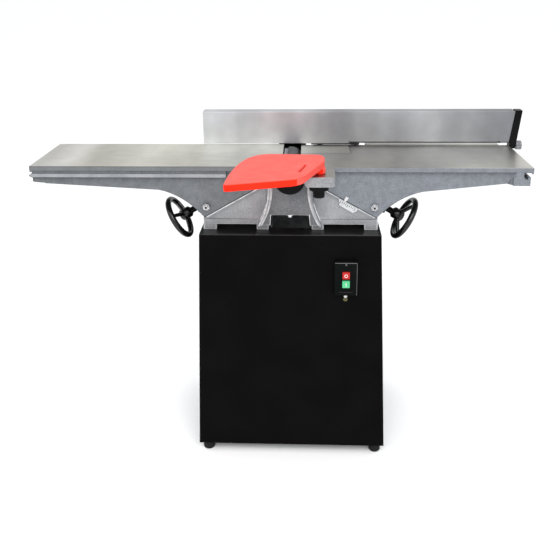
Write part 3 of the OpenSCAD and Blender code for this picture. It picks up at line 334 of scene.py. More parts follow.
metal("bright_steel", (0.52, 0.52, 0.53), (0.68, 0.68, 0.69), 0.26, 400, (1, 1, 4), 0.10, 60)
metal("tool_steel", (0.20, 0.20, 0.21), (0.32, 0.32, 0.33), 0.30, 300, (4, 1, 4), 0.12, 30)
metal("pulley_iron", (0.20, 0.21, 0.22), (0.30, 0.31, 0.32), 0.42, 300, (1, 6, 1), 0.2, 30)
metal("chute_zinc", (0.42, 0.44, 0.45), (0.60, 0.62, 0.63), 0.38, 120, (1, 1, 1), 0.1, 80)
metal("scale_plate", (0.52, 0.53, 0.54), (0.62, 0.63, 0.64), 0.5, 700, (6, 1, 1), 0.05, 40)
metal("screw_steel", (0.36, 0.36, 0.37), (0.52, 0.52, 0.53), 0.3, 400, (1, 1, 4), 0.10, 120)
metal("nut_steel", (0.14, 0.14, 0.15), (0.26, 0.26, 0.27), 0.3, 400, (1, 1, 4), 0.10, 120)
# Nearly black steel: painted shade for the cutterhead deep in its throat.
metal("head_steel_in_shade", (0.006, 0.006, 0.007), (0.012, 0.012, 0.013), 0.35, 300, (4, 1, 4), 0.12, 30)
metal("brass_part", (0.36, 0.28, 0.10), (0.46, 0.37, 0.15), 0.4, 300, (1, 4, 1), 0.1, 60)
print("paints and metals:", len(finishes))

# %% [markdown]
# ## Ground iron
# Grinding leaves fine lines along the feed on the tables, and soft upright bands on the fence, which are partly
# where the wheel dwelt and partly painted reflection. A slow change of tone along the machine is painted
# reflection, where the iron would mirror brighter or darker surroundings: a ramp over the X axis, in metres, does
# it. Strips with straight edges are painted reflection too, where the tables are brighter or darker beside the
# throat. They are masks from three soft steps, one for each edge of the strip.


# %% Ground finish
RAMP_REACH = 0.65
STRIP_BLUR = 0.0006


def tone_along(paint, x_output, stops):
    new, wire = paint.node_tree.nodes.new, paint.node_tree.links.new
    along = new("ShaderNodeMapRange")
    along.inputs["From Min"].default_value = -RAMP_REACH
    along.inputs["From Max"].default_value = RAMP_REACH
    wire(x_output, along.inputs["Value"])
    ramp = new("ShaderNodeValToRGB")
    ramp.color_ramp.interpolation = "EASE"
    while len(ramp.color_ramp.elements) < len(stops):
        ramp.color_ramp.elements.new(0.5)
    for element, (x, colour) in zip(ramp.color_ramp.elements, stops):
        element.position = (x + RAMP_REACH) / (2 * RAMP_REACH)
        element.color = (*colour, 1)
    wire(along.outputs["Result"], ramp.inputs["Fac"])
    return ramp.outputs["Color"]


def strip_mask(paint, split, x_from, x_to, y_from):
    new, wire = paint.node_tree.nodes.new, paint.node_tree.links.new
    inside = None
    for axis, edge, sign in (("X", x_from, 1), ("X", x_to, -1), ("Y", y_from, 1)):
        step = new("ShaderNodeMapRange")
        step.inputs["From Min"].default_value = edge - STRIP_BLUR * sign
        step.inputs["From Max"].default_value = edge + STRIP_BLUR * sign
        wire(split.outputs[axis], step.inputs["Value"])
        if inside is None:
            inside = step.outputs["Result"]
            continue
        both = new("ShaderNodeMath")
        both.operation = "MULTIPLY"
        wire(inside, both.inputs[0])
        wire(step.outputs["Result"], both.inputs[1])
        inside = both.outputs[0]
    return inside


def ground(name, stops, roughness, bands, reflection_strips=()):
    paint, shader = finish(name, roughness, 1.0)
    new, wire = paint.node_tree.nodes.new, paint.node_tree.links.new
    place = new("ShaderNodeTexCoord")
    split = new("ShaderNodeSeparateXYZ")
    wire(place.outputs["Object"], split.inputs["Vector"])
    cloud = tones(paint, noise(paint, 1.0, 2.0, bands), (0.84, 0.84, 0.85), (1.12, 1.12, 1.12))
    rubbed = noise(paint, 26, 4.0, (1, 1.6, 1))
    scuff = tones(paint, rubbed, (0.945, 0.945, 0.935), (1.045, 1.045, 1.04))
    # The ramp along X and the strips are painted reflection; the cloud is random tone, on the fence partly painted
    # reflection, and the scuff is random tone.
    colour = times(paint, times(paint, tone_along(paint, split.outputs["X"], stops), cloud), scuff)
    for x_from, x_to, y_from, gain in reflection_strips:
        mask = strip_mask(paint, split, x_from, x_to, y_from)
        colour = times(paint, colour, tones(paint, mask, (1, 1, 1), gain, 0.0, 1.0))
    wire(colour, shader.inputs["Base Color"])
    lines = noise(paint, 60, 3.0, (1, 8, 8))
    wire(spread(paint, lines, roughness - 0.04, roughness + 0.05), shader.inputs["Roughness"])
    relief(paint, shader, lines, 0.03, 0.0001)
    finishes[name] = paint


print("ground finish ready")

# %% [markdown]
# ## Table and fence iron
# Each stop is a place along the machine and the tone of painted reflection on the iron there. The outfeed table at
# the left is the brightest, the infeed table is darker beside the cutter and clears up to its far end. The fence
# goes from bright to dull in the same direction, as painted reflection too.

# %% Table and fence iron
# Painted reflection: the tone of the ground iron at each place along the machine.
table_reflection_tones = [(-0.60, (0.49, 0.485, 0.455)), (-0.54, (0.60, 0.595, 0.565)), (-0.47, (0.44, 0.43, 0.375)),
               (-0.36, (0.54, 0.53, 0.475)), (-0.02, (0.53, 0.52, 0.462)), (0.08, (0.31, 0.303, 0.272)),
               (0.25, (0.250, 0.243, 0.219)), (0.48, (0.53, 0.524, 0.489))]
# Painted reflection: a darker border and a bright strip beside the throat.
table_reflection_strips = [(-0.340, 0.015, 0.0155, (1.06, 1.06, 1.05)), (0.020, 0.1665, 0.0120, (0.55, 0.55, 0.55)),
                (0.030, 0.1630, 0.0155, (2.40, 2.40, 2.34))]
# Painted reflection on the fence, from bright to dull along the machine.
fence_reflection_tones = [(-0.22, (0.53, 0.545, 0.57)), (0.02, (0.47, 0.485, 0.51)), (0.14, (0.285, 0.288, 0.305)),
               (0.36, (0.35, 0.355, 0.375)), (0.58, (0.23, 0.235, 0.25))]
ground("ground_iron", table_reflection_tones, 0.34, bands=(7, 3, 0), reflection_strips=table_reflection_strips)
ground("ground_fence", fence_reflection_tones, 0.44, bands=(9, 0, 0.8))
print("finishes in all:", len(finishes))

# %% [markdown]
# ## A finish for every piece
# The record says which finish each piece has and which body it rides on. Every piece of the frame gets
# its finish here, the hidden ones too, so that pieces that are not modelled again are already done.

# %% Give each CAD node its finish
slot_of = {part["node"]: part["material_slot"] for part in frame["record"]["subparts"]}
body_of = {n: body for body, members in frame["record"]["behaviour"]["bodies"].items() for n in members}
for node_name, node in nodes.items():
    node.data.materials.clear()
    node.data.materials.append(finishes[slot_of[node_name]])
# The cutterhead gets the nearly black steel as painted shade.
nodes["cutterhead"].data.materials[0] = finishes["head_steel_in_shade"]
print("nodes finished:", len(slot_of))

# %% [markdown]
# ## Picking faces
# Edit-mode tools act on what is selected, so most steps start by picking faces. By hand that is done by
# looking. In code a face is picked by the place of its middle and the direction it looks in. Repainting
# picks faces and gives them a material slot of their own.


# %% Picking helpers
def alone(piece):
    bpy.ops.object.select_all(action="DESELECT")
    bpy.context.view_layer.objects.active = piece
    piece.select_set(True)


def near(value, target, by=0.0004):
    return abs(value - target) < by


def pick_faces(piece, chosen):
    bpy.ops.object.mode_set(mode="EDIT")
    bpy.ops.mesh.select_mode(type="FACE")
    bpy.ops.mesh.select_all(action="DESELECT")
    bpy.ops.object.mode_set(mode="OBJECT")
    count = 0
    for face in piece.data.polygons:
        face.select = bool(chosen(face.center, face.normal))
        count += face.select
    bpy.ops.object.mode_set(mode="EDIT")
    return count


def repaint(piece, finish_name, chosen):
    alone(piece)
    piece.data.materials.append(finishes[finish_name])
    piece.active_material_index = len(piece.data.materials) - 1
    count = pick_faces(piece, chosen)
    bpy.ops.object.material_slot_assign()
    bpy.ops.object.mode_set(mode="OBJECT")
    return count


print("picking helpers ready")

# %% [markdown]
# ## Room for a rounded edge
# A bevel that is wider than its face folds the face over. So before bevelling, each edge's room is
# measured: the distance to the nearest other sharp edge of the same face. Edges that follow one another
# round a gentle curve count as one run and do not crowd each other. The clamp of the Bevel modifier could
# do this too, but it makes every bevel of the piece as small as the tightest one.


# %% Room beside each edge
SAME_RUN = math.cos(math.radians(40))
PLENTY = 1.0


def line_gaps(points, starts, stops):
    span = stops - starts
    reach = np.maximum((span * span).sum(axis=1), 1e-18)
    share = np.clip(((points[:, None] - starts) * span).sum(axis=2) / reach, 0, 1)
    return np.linalg.norm(points[:, None] - (starts + share[..., None] * span), axis=2)


def edge_room(mesh):
    spots = np.array([vertex.co for vertex in mesh.vertices])
    room = np.full(len(mesh.edges), PLENTY)
    for face in mesh.polygons:
        starts = spots[list(face.vertices)]
        stops = np.roll(starts, -1, axis=0)
        way = stops - starts
        way /= np.maximum(np.linalg.norm(way, axis=1), 1e-12)[:, None]
        corner = (way * np.roll(way, -1, axis=0)).sum(axis=1) < SAME_RUN
        run = np.concatenate(([0], np.cumsum(corner[:-1])))
        if not corner[-1]:
            run[run == run[-1]] = 0
        gaps = np.minimum(line_gaps(starts, starts, stops), line_gaps(stops, starts, stops))
        gaps = np.minimum(gaps, gaps.T)
        order = np.arange(len(starts))
        steps_apart = np.abs(order[:, None] - order)
        beside = np.minimum(steps_apart, len(starts) - steps_apart) < 2
        sides = [mesh.loops[loop].edge_index for loop in face.loop_indices]
        flat = np.array([not mesh.edges[side].select for side in sides])
        gaps[beside | (run[:, None] == run) | flat] = PLENTY
        for side, gap in zip(sides, gaps.min(axis=1)):
            room[side] = min(room[side], gap)
    return room


print("edge room ready")

# %% [markdown]
# ## Softening the edges
# No real edge is razor sharp: castings are dressed, sheet is bent, and paint rounds off what is left. A softened
# piece starts as a copy of its CAD node. The loose triangles are merged and flat areas are dissolved into single
# faces, so only true edges are left. Each sharp edge gets a bevel weight, and the Bevel modifier rounds what has
# one. A piece can leave out hidden edges by place, or tight ones by their room in bevel widths. The bevel's faces
# may take a brighter paint, partly as worn edges do and partly as a painted highlight.


# %% Softening helper
SHARP = math.radians(32)
SMOOTH = math.radians(40)
FLAT = math.radians(0.5)
MERGE = 0.00001
ROOMY = 2.1


def softened(node_name, width, steps=2, edge=None, where=None, room=0.0, clamp=False):
    piece = bpy.data.objects.new(node_name + "_soft", nodes[node_name].data.copy())
    scene.collection.objects.link(piece)
    alone(piece)
    bpy.ops.object.mode_set(mode="EDIT")
    bpy.ops.mesh.select_all(action="SELECT")
    bpy.ops.mesh.remove_doubles(threshold=MERGE)
    bpy.ops.mesh.dissolve_limited(angle_limit=FLAT)
    bpy.ops.mesh.normals_make_consistent(inside=False)
    bpy.ops.mesh.select_mode(type="EDGE")
    bpy.ops.mesh.select_all(action="DESELECT")
    bpy.ops.mesh.edges_select_sharp(sharpness=SHARP)
    bpy.ops.object.mode_set(mode="OBJECT")
    corners = piece.data.vertices
    weights = piece.data.attributes.new("bevel_weight_edge", "FLOAT", "EDGE")
    gaps = edge_room(piece.data) if room else np.full(len(piece.data.edges), PLENTY)
    for side, gap in zip(piece.data.edges, gaps):
        middle = (corners[side.vertices[0]].co + corners[side.vertices[1]].co) / 2
        if side.select and gap >= room * width and (where is None or where(middle)):
            weights.data[side.index].value = 1.0
    bpy.ops.object.modifier_add(type="BEVEL")
    bevel = piece.modifiers[-1]
    bevel.width = width
    bevel.segments = steps
    bevel.limit_method = "WEIGHT"
    bevel.use_clamp_overlap = clamp
    if edge:
        piece.data.materials.append(finishes[edge])
        bevel.material = 1
    bpy.ops.object.modifier_apply(modifier=bevel.name)
    bpy.ops.object.shade_smooth_by_angle(angle=SMOOTH)
    bpy.ops.object.modifier_add(type="WEIGHTED_NORMAL")
    piece.modifiers[-1].keep_sharp = True
    bpy.ops.object.modifier_apply(modifier=piece.modifiers[-1].name)
    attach(piece, body_of[node_name])
    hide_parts(node_name)
    return piece


print("softening helper ready")

# %% [markdown]
# ## Cabinet and feet
# The cabinet is folded from thin sheet, so its edges are only just rounded, and the top cover's front
# edge catches the light as a thin line. The feet are moulded rubber. A small bevel on each is enough,
# because the shapes are already right.

# %% Soften the cabinet
cabinet_bevels = {"cabinet_shell": 0.0008, "cabinet_top": 0.0012,
                  "rear_panel": 0.0005, "rubber_feet": 0.0012}
cabinet = {name: softened(name, width) for name, width in cabinet_bevels.items()}
cabinet["cabinet_top"].data.materials[0] = finishes["cabinet_cover"]
print("cabinet pieces:", [(p.name, len(p.data.polygons)) for p in cabinet.values()])

# %% [markdown]
# ## Base casting
# The base comes out of a sand mould. Its edges are dressed by hand and painted over, and the bevels take the
# brighter edge paint, which is partly wear and partly a painted highlight. The edges on the ways stay sharp,
# because the tables hide them and slide on them. The front faces lie at a few known depths, and each depth gets a
# tone of painted light or shade: the tower in painted shade, the side panels and the ribs in painted light, the
# band along each way in between, and the right side of the right rib in the plain paint.

# %% Soften and paint the base
FRONT = -0.98
TOWER_Y, RIB_Y, BAND_Y = -0.115, -0.122, -0.105
PANEL_FRONT_Y, PANEL_BACK_Y = -0.1074, -0.1026
WAYS_FRONT_Y, WAYS_BACK_Y, WAYS_LOW_Z = -0.1, 0.078, 0.655


def off_the_ways(at):
    return at.y < WAYS_FRONT_Y or at.y > WAYS_BACK_Y or at.z < WAYS_LOW_Z


def rib_right_side(at, normal):
    return normal.x > 0.25 and RIB_Y - 0.0005 < at.y < TOWER_Y - 0.0005 and at.x > 0.03


# The bevels take the bright edge paint: partly wear, partly a painted highlight.
base = softened("base_casting", 0.0018, edge="casting_edge", where=off_the_ways, room=ROOMY)
# Painted shade on the tower, painted light on the panels and the ribs, plain paint on the band and the right rib's
# side.
repaint(base, "casting_shade", lambda at, normal: normal.y < FRONT and near(at.y, TOWER_Y))
repaint(base, "casting_light", lambda at, normal: normal.y < FRONT and PANEL_FRONT_Y < at.y < PANEL_BACK_Y)
repaint(base, "casting_light", lambda at, normal: normal.y < FRONT and near(at.y, RIB_Y))
repaint(base, "casting_paint", rib_right_side)
repaint(base, "casting_paint", lambda at, normal: normal.y < FRONT and near(at.y, BAND_Y))
print("base faces:", len(base.data.polygons))

# %% [markdown]
# ## Modelling by hand
# The small pieces that follow all start as a primitive at its size and place, with its transform applied,
# so the object sits at the origin and its place is in its mesh. Then edit-mode tools shape it: a stepped
# face is inset and moved, a sunk face is inset and extruded inwards. The last step merges doubles, points
# the normals outwards and smooths gentle angles.


# %% Modelling helpers
def started(add_primitive, **options):
    bpy.ops.object.select_all(action="DESELECT")
    add_primitive(**options)
    bpy.ops.object.transform_apply(location=True, rotation=True, scale=True)
    return bpy.context.object


def stepped(rim, move):
    bpy.ops.mesh.inset(thickness=rim)
    bpy.ops.transform.translate(value=move)


def sunk(rim, move):
    bpy.ops.mesh.inset(thickness=rim)
    bpy.ops.mesh.extrude_region_move(TRANSFORM_OT_translate={"value": move})


def tidy(piece, angle=30):
    bpy.ops.mesh.select_all(action="SELECT")
    bpy.ops.mesh.remove_doubles(threshold=MERGE)
    bpy.ops.mesh.normals_make_consistent(inside=False)
    bpy.ops.object.mode_set(mode="OBJECT")
    bpy.ops.object.shade_smooth_by_angle(angle=math.radians(angle))
    return piece


def bevelled(piece, width, segments=2):
    bpy.ops.object.mode_set(mode="EDIT")
    bpy.ops.mesh.select_all(action="SELECT")
    bpy.ops.mesh.bevel(offset=width, segments=segments, affect="EDGES")
    return tidy(piece)


def settle(piece, matrix):
    alone(piece)
    piece.matrix_world = matrix @ piece.matrix_world
    bpy.ops.object.transform_apply(location=True, rotation=True, scale=True)
    return piece


def copied(piece, name):
    twin = bpy.data.objects.new(name, piece.data.copy())
    scene.collection.objects.link(twin)
    return twin


def joined(pieces, name):
    bpy.ops.object.select_all(action="DESELECT")
    for piece in pieces:
        piece.select_set(True)
    bpy.context.view_layer.objects.active = pieces[0]
    bpy.ops.object.join()
    pieces[0].name = name
    return pieces[0]


def keep(piece, node_name, finish_name):
    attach(piece, body_of[node_name])
    if not piece.data.materials:
        piece.data.materials.append(finishes[finish_name])
    return piece


print("modelling helpers ready")

# %% [markdown]
# ## Beads along the ways
# Along the front of each inclined way lies a narrow raised bead in the bright edge paint, a painted highlight on
# the way's edge. A bead is a long cube with its edges bevelled. It is turned to the slope of its way and sunk into
# the casting, so that only a sliver stands proud, and it lies just below the table, which slides over it.

# %% Bead along each way
WAY_SLOPE, WAY_END_Z = math.radians(30), 0.657
BEAD_L, BEAD_W, BEAD_H = 0.166, 0.0030, 0.0020
BEAD_Y, BEAD_END_GAP, BEAD_DEPTH = -0.1041, 0.001, 0.0014

for side, sign, way_end_x in (("infeed", 1, 0.2196), ("outfeed", -1, -0.1944)):
    bead = started(bpy.ops.mesh.primitive_cube_add, size=1, scale=(BEAD_L, BEAD_W, BEAD_H))
    bevelled(bead, width=0.0005)
    down = Vector((sign * math.cos(WAY_SLOPE), 0, -math.sin(WAY_SLOPE)))
    off = Vector((sign * math.sin(WAY_SLOPE), 0, math.cos(WAY_SLOPE)))
    way_end = Vector((way_end_x, BEAD_Y, WAY_END_Z))
    place = way_end - down * (BEAD_L / 2 + BEAD_END_GAP) - off * BEAD_DEPTH
    settle(bead, Matrix.Translation(place) @ Matrix.Rotation(sign * WAY_SLOPE, 4, "Y"))
    bead.name = side + "_way_highlight_bead"
    # The bead's bright paint is a painted highlight.
    keep(bead, "base_casting", "casting_edge")
    print(bead.name, "length", BEAD_L)

# %% [markdown]
# ## Tables
# A table is cast and painted, and its working face is ground afterwards. So the whole piece gets paint,
# and the faces at its top that look up get bare iron. Only edges in the open are rounded. The slide under
# the table has steps narrower than the bevel, and nobody sees it.

# %% Soften the tables and grind their tops
OPEN_Z, OPEN_FRONT_Y, OPEN_BACK_Y, LOW_STEP_Y = 0.765, -0.1035, 0.0815, 0.097
GROUND_DEPTH = 0.0009
outfeed_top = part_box("outfeed_table")[1].z
infeed_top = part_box("infeed_table")[1].z


def in_the_open(at):
    low_step = at.x > 0 and near(at.y, LOW_STEP_Y, 0.001)
    return (at.z > OPEN_Z or at.y < OPEN_FRONT_Y or at.y > OPEN_BACK_Y) and not low_step


outfeed = softened("outfeed_table", 0.0013, where=in_the_open)
infeed = softened("infeed_table", 0.0013, where=in_the_open)
# The outfeed table's darker paint is painted shade.
table_paints = ((outfeed, outfeed_top, "outfeed_shaded_paint"), (infeed, infeed_top, "infeed_paint"))
for table, top, paint_name in table_paints:
    table.data.materials[0] = finishes[paint_name]
    ground_faces = repaint(table, "ground_iron",
                           lambda at, normal: at.z > top - GROUND_DEPTH and normal.z > 0.5)
    print(table.name, "ground faces:", ground_faces)

# %% [markdown]
# ## Plate edges and painted joint shade
# Seen from the front, a table is a plate on a web, with a bar below the plate's edge on the outfeed side. Dark
# lines of painted shade are drawn where these meet, under the webs along the ways, and along the outfeed's top
# edge. Each line is a row of bevel faces, picked by their depth, height and direction.

# %% Plate edge, bar and painted joint shade
WEB_Y, PLATE_Y, GROOVE_DEPTH = -0.105, -0.119, 0.004
PLATE_LOW_Z, BAR_TOP_Z, BAR_LOW_Z, LIP_Z = 0.775, 0.772, 0.764, 0.77
LEDGE_FRONT_Y, LEDGE_CORNER_Y = -0.193, -0.185


def on_plate_edge(at, normal):
    return normal.y < FRONT and near(at.y, PLATE_Y) and at.z > PLATE_LOW_Z


def on_bar(at, normal):
    return normal.y < -0.5 and near(at.y, PLATE_Y, 0.0014) and at.z < BAR_TOP_Z


def in_groove(at, normal):
    return normal.y < -0.5 and near(at.y, PLATE_Y + GROOVE_DEPTH, 0.0006)


def under_bar(at, normal):
    return normal.z < -0.3 and near(at.y, PLATE_Y, 0.0014) and at.z < BAR_LOW_Z


def along_top_edge(at, normal):
    return 0.8 < -normal.y < -FRONT and at.z > outfeed_top - 0.0014


def under_web(at, normal):
    return normal.z < -0.2 and normal.y < -0.3 and abs(normal.x) > 0.15 and near(at.y, WEB_Y, 0.0015)


def under_lip(at, normal):
    return FRONT < normal.y < -0.3 and normal.z < -0.3 and near(at.y, PLATE_Y, 0.0013) and at.z > LIP_Z


def ledge_corner(at, normal):
    return at.y < LEDGE_CORNER_Y and normal.x > 0.25 and normal.z < 0.5


repaint(outfeed, "outfeed_plate", on_plate_edge)
repaint(outfeed, "outfeed_bar", on_bar)
repaint(outfeed, "outfeed_shaded_paint", in_groove)
# Painted shade: dark lines under the bar, along the outfeed's top edge, under the webs and under the infeed's lip.
repaint(outfeed, "joint_shade", under_bar)
repaint(outfeed, "joint_shade", along_top_edge)
repaint(outfeed, "joint_shade", under_web)
repaint(infeed, "joint_shade", under_web)
repaint(infeed, "joint_shade", under_lip)
# Painted light on the ledge's front and a painted highlight on its right corner.
repaint(infeed, "casting_light", lambda at, normal: normal.y < -0.7 and at.y < LEDGE_FRONT_Y)
repaint(infeed, "casting_light", ledge_corner)
print("joints darkened, slots:", len(outfeed.data.materials), len(infeed.data.materials))

# %% [markdown]
# ## Fence and what carries it
# The fence is ground all over, and its edges are only just broken. Under its flange they stay sharp,
# because the ribs there leave the bevel no room. The support, the carriage and the belt's cover behind it
# have many short steps, so their tight edges stay sharp too and the modifier's clamp looks after the
# rest.

# %% Soften the fence and its carriers
FLANGE_LOW_Z = 0.8673


def not_under_flange(at):
    return abs(at.z - FLANGE_LOW_Z) > 0.0005


fence = softened("fence", 0.0010, where=not_under_flange)
fence.data.materials[0] = finishes["ground_fence"]
# The bevels of the support and the carriage take the lit casting paint as a painted highlight.
carriers = [softened("fence_support", 0.0014, edge="casting_light", room=ROOMY, clamp=True),
            softened("fence_carriage", 0.0012, edge="casting_light", room=ROOMY, clamp=True),
            softened("belt_guard", 0.0014, room=ROOMY, clamp=True)]
print("fence and carriers:", [(p.name, len(p.data.polygons)) for p in [fence] + carriers])

# %% [markdown]
# ## Guard
# The guard is a red casting with well rounded edges. Its sides are painted a stronger red than its top, as painted
# shading for the lamps washing out the top, and the floor of its slot is painted a deep red as painted shade.

# %% Soften the guard
guard = softened("cutter_guard", 0.0022, 3)
guard_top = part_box("cutter_guard")[1].z
SLOT_DEEP, SLOT_SHALLOW = 0.0035, 0.0015


def slot_floor(at, normal):
    return normal.z > 0.9 and guard_top - SLOT_DEEP < at.z < guard_top - SLOT_SHALLOW


# The sides get painted shading and the slot floor painted shade.
side_faces = repaint(guard, "guard_side", lambda at, normal: normal.z < 0.5 and normal.x < 0.6)
repaint(guard, "guard_slot_shade", slot_floor)
print("guard faces:", len(guard.data.polygons), "on the sides:", side_faces)

# %% [markdown]
# ## Small black pieces
# The bearing block and the knob are enamelled, the switch is moulded, and the fence's end has a plate and
# a round nut. They differ in how generous their rounding is. The upper and right edges of the switch
# plate catch the light, so they get a paler finish.

# %% Soften the small pieces
small = {"front_bearing_block": softened("front_bearing_block", 0.0015, 3, room=ROOMY, clamp=True),
         "guard_knob": softened("guard_knob", 0.0010, room=ROOMY, clamp=True),
         "fence_end_plate": softened("fence_end_plate", 0.0012),
         "fence_end_nut": softened("fence_end_nut", 0.0005),
         "switch_box": softened("switch_box", 0.0020, 3),
         "switch_plate": softened("switch_plate", 0.0012),
         "start_button": softened("start_button", 0.0014, 3),
         "stop_button": softened("stop_button", 0.0014, 3)}
small["guard_knob"].data.materials[0] = finishes["knob_black"]
small["fence_end_nut"].data.materials[0] = finishes["nut_steel"]
plate_low, plate_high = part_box("switch_plate")
PLATE_RIM = 0.003


def lit_plate_edge(at, normal):
    upper = normal.z > 0.3 and at.z > plate_high.z - PLATE_RIM
    right = normal.x > 0.3 and at.x > plate_high.x - PLATE_RIM
    return upper or right


repaint(small["switch_plate"], "switch_edge", lit_plate_edge)
print("small pieces:", len(small))

# %% [markdown]
# ## Handwheels
# A cast handwheel is a ring, a hub and three sloping spokes. The ring is a small circle spun round the
# axle. The hub starts as a cylinder whose outer face is inset and pulled out into a low dome. One spoke
# is tapered towards the ring and copied twice. The wheel is modelled lying at the origin, where turning
# copies is easy.

# %% Model one wheel
WHEEL_R, RIM_R, DISH = 0.0515, 0.0076, 0.020
HUB_R, HUB_L = 0.0145, 0.024
DOME_RIM, DOME_UP = 0.0035, 0.003
CAP_RIM, CAP_UP = 0.004, 0.001
BACK_RIM, BACK_OUT = 0.0045, 0.004
SPOKE_R, SPOKE_TAPER, SPOKES = 0.00575, 0.78, 3

rim = started(bpy.ops.mesh.primitive_circle_add, vertices=20, radius=RIM_R, location=(WHEEL_R, 0, DISH),
              rotation=(math.pi / 2, 0, 0))
bpy.ops.object.mode_set(mode="EDIT")
bpy.ops.mesh.select_all(action="SELECT")
bpy.ops.mesh.spin(steps=72, angle=2 * math.pi, center=(0, 0, 0), axis=(0, 0, 1))
tidy(rim, 40)

hub = started(bpy.ops.mesh.primitive_cylinder_add, vertices=36, radius=HUB_R, depth=HUB_L)
pick_faces(hub, lambda at, normal: normal.z > 0.9)
stepped(DOME_RIM, (0, 0, DOME_UP))
stepped(CAP_RIM, (0, 0, CAP_UP))
pick_faces(hub, lambda at, normal: normal.z < -0.9)
stepped(BACK_RIM, (0, 0, -BACK_OUT))
tidy(hub, 50)

spoke_length = math.hypot(WHEEL_R, DISH)
spoke = started(bpy.ops.mesh.primitive_cylinder_add, vertices=16, radius=SPOKE_R, depth=spoke_length,
                location=(0, 0, spoke_length / 2))
pick_faces(spoke, lambda at, normal: normal.z > 0.9)
bpy.ops.transform.resize(value=(SPOKE_TAPER, SPOKE_TAPER, 1))
tidy(spoke, 40)
settle(spoke, Matrix.Rotation(math.pi / 2 - math.atan2(DISH, WHEEL_R), 4, "Y"))
spokes = [spoke]
for i in range(1, SPOKES):
    turn = Matrix.Rotation(i * 2 * math.pi / SPOKES, 4, "Z")
    spokes.append(settle(copied(spoke, f"spoke_{i}"), turn))
wheel = joined([rim, hub] + spokes, "wheel_pattern")
print("wheel faces:", len(wheel.data.polygons))

# %% [markdown]
# ## Wheels on their axles
# Each wheel is a copy with its own mesh, set on its axle. The place and the direction of the axle come
# from the crank joint, so the wheel turns true. The spokes of the two wheels stand at different angles,
# as nobody lines them up.

# %% Set a wheel on each axle
joint = {j["name"]: j for j in frame["joints"]}
for side, turn in (("infeed", -40), ("outfeed", -5)):
    crank = joint[side + "_crank"]
    out = -Vector(crank["axis"])
    across = Vector((0, math.copysign(1, out.x), 0))
    lower = across.cross(out)
    stand_up = Matrix((lower, across, out)).transposed().to_4x4()
    stand_up.translation = Vector(crank["pos_m"])
    handwheel = copied(wheel, side + "_wheel_cast")
    settle(handwheel, stand_up @ Matrix.Rotation(math.radians(turn), 4, "Z"))
    keep(handwheel, side + "_handwheel", "wheel_black")
    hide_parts(side + "_handwheel")
    print(handwheel.name, "at", [round(v, 3) for v in crank["pos_m"]])
bpy.data.objects.remove(wheel)

# %% [markdown]
# ## Lock screws
# Each table is locked by a set screw with a jam nut. The nut is a six-sided cylinder with its corners bevelled
# off. The screw's end has a socket, made by insetting the end face and pushing it in, and the socket is painted
# dark as painted shade.

# %% Model one lock screw
NUT_R, NUT_L = 0.0095, 0.008
STUD_R, STUD_L = 0.0052, 0.012
STUD_RIM, STUD_UP = 0.0010, 0.0004
SOCKET_RIM, SOCKET_DEPTH = 0.0013, 0.0040
SOCKET_R, SOCKET_TOP, SOCKET_LOW = 0.0032, 0.0123, 0.004

nut = started(bpy.ops.mesh.primitive_cylinder_add, vertices=6, radius=NUT_R, depth=NUT_L,
              location=(0, 0, NUT_L / 2))
bevelled(nut, width=0.0008)
nut.data.materials.append(finishes["screw_steel"])

stud = started(bpy.ops.mesh.primitive_cylinder_add, vertices=24, radius=STUD_R, depth=STUD_L,
               location=(0, 0, STUD_L / 2))
pick_faces(stud, lambda at, normal: normal.z > 0.9)
stepped(STUD_RIM, (0, 0, STUD_UP))
sunk(SOCKET_RIM, (0, 0, -SOCKET_DEPTH))
tidy(stud)
stud.data.materials.append(finishes["screw_steel"])
# The socket is painted dark: painted shade in the recess.
repaint(stud, "mark_black",
        lambda at, normal: math.hypot(at.x, at.y) < SOCKET_R and SOCKET_LOW < at.z < SOCKET_TOP)
lock = joined([stud, nut], "lock_pattern")
print("lock screw faces:", len(lock.data.polygons))

# %% [markdown]
# ## Lock screws in place
# The screw is copied to both tables. Its place is the middle of the bolt in the frame, and it stands with
# the nut on the table's side. A small turn keeps the hexagon from looking too neat.

# %% Set the lock screws
BOLT_PROUD = 0.012
NUT_TURN = math.radians(12)
for side in ("infeed", "outfeed"):
    low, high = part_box(side + "_lock_bolt")
    middle = (low + high) / 2
    place = Matrix.Translation((middle.x, low.y + BOLT_PROUD, middle.z))
    facing = Matrix.Rotation(math.pi / 2, 4, "X") @ Matrix.Rotation(NUT_TURN, 4, "Z")
    set_screw = settle(copied(lock, side + "_lock_screw"), place @ facing)
    keep(set_screw, side + "_lock_bolt", "bright_steel")
    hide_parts(side + "_lock_bolt")
    print(set_screw.name, "on", body_of[side + "_lock_bolt"])
bpy.data.objects.remove(lock)

# %% [markdown]
# ## Signs on the buttons
# The stop button carries a ring and the start button a bar, as the usual signs. The ring is a circle that
# is filled, inset and emptied, then given depth. The bar is a cube with its edges bevelled. Both are
# raised marks and not only paint, so they show in the exported model too.

# %% Ring and bar on the buttons
RING_R, RING_W = 0.0042, 0.0013
MARK_T, MARK_OFFSET = 0.0006, 0.0001
BAR_W, BAR_H = 0.0017, 0.0086
stop_low, stop_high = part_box("stop_button")
start_low, start_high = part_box("start_button")

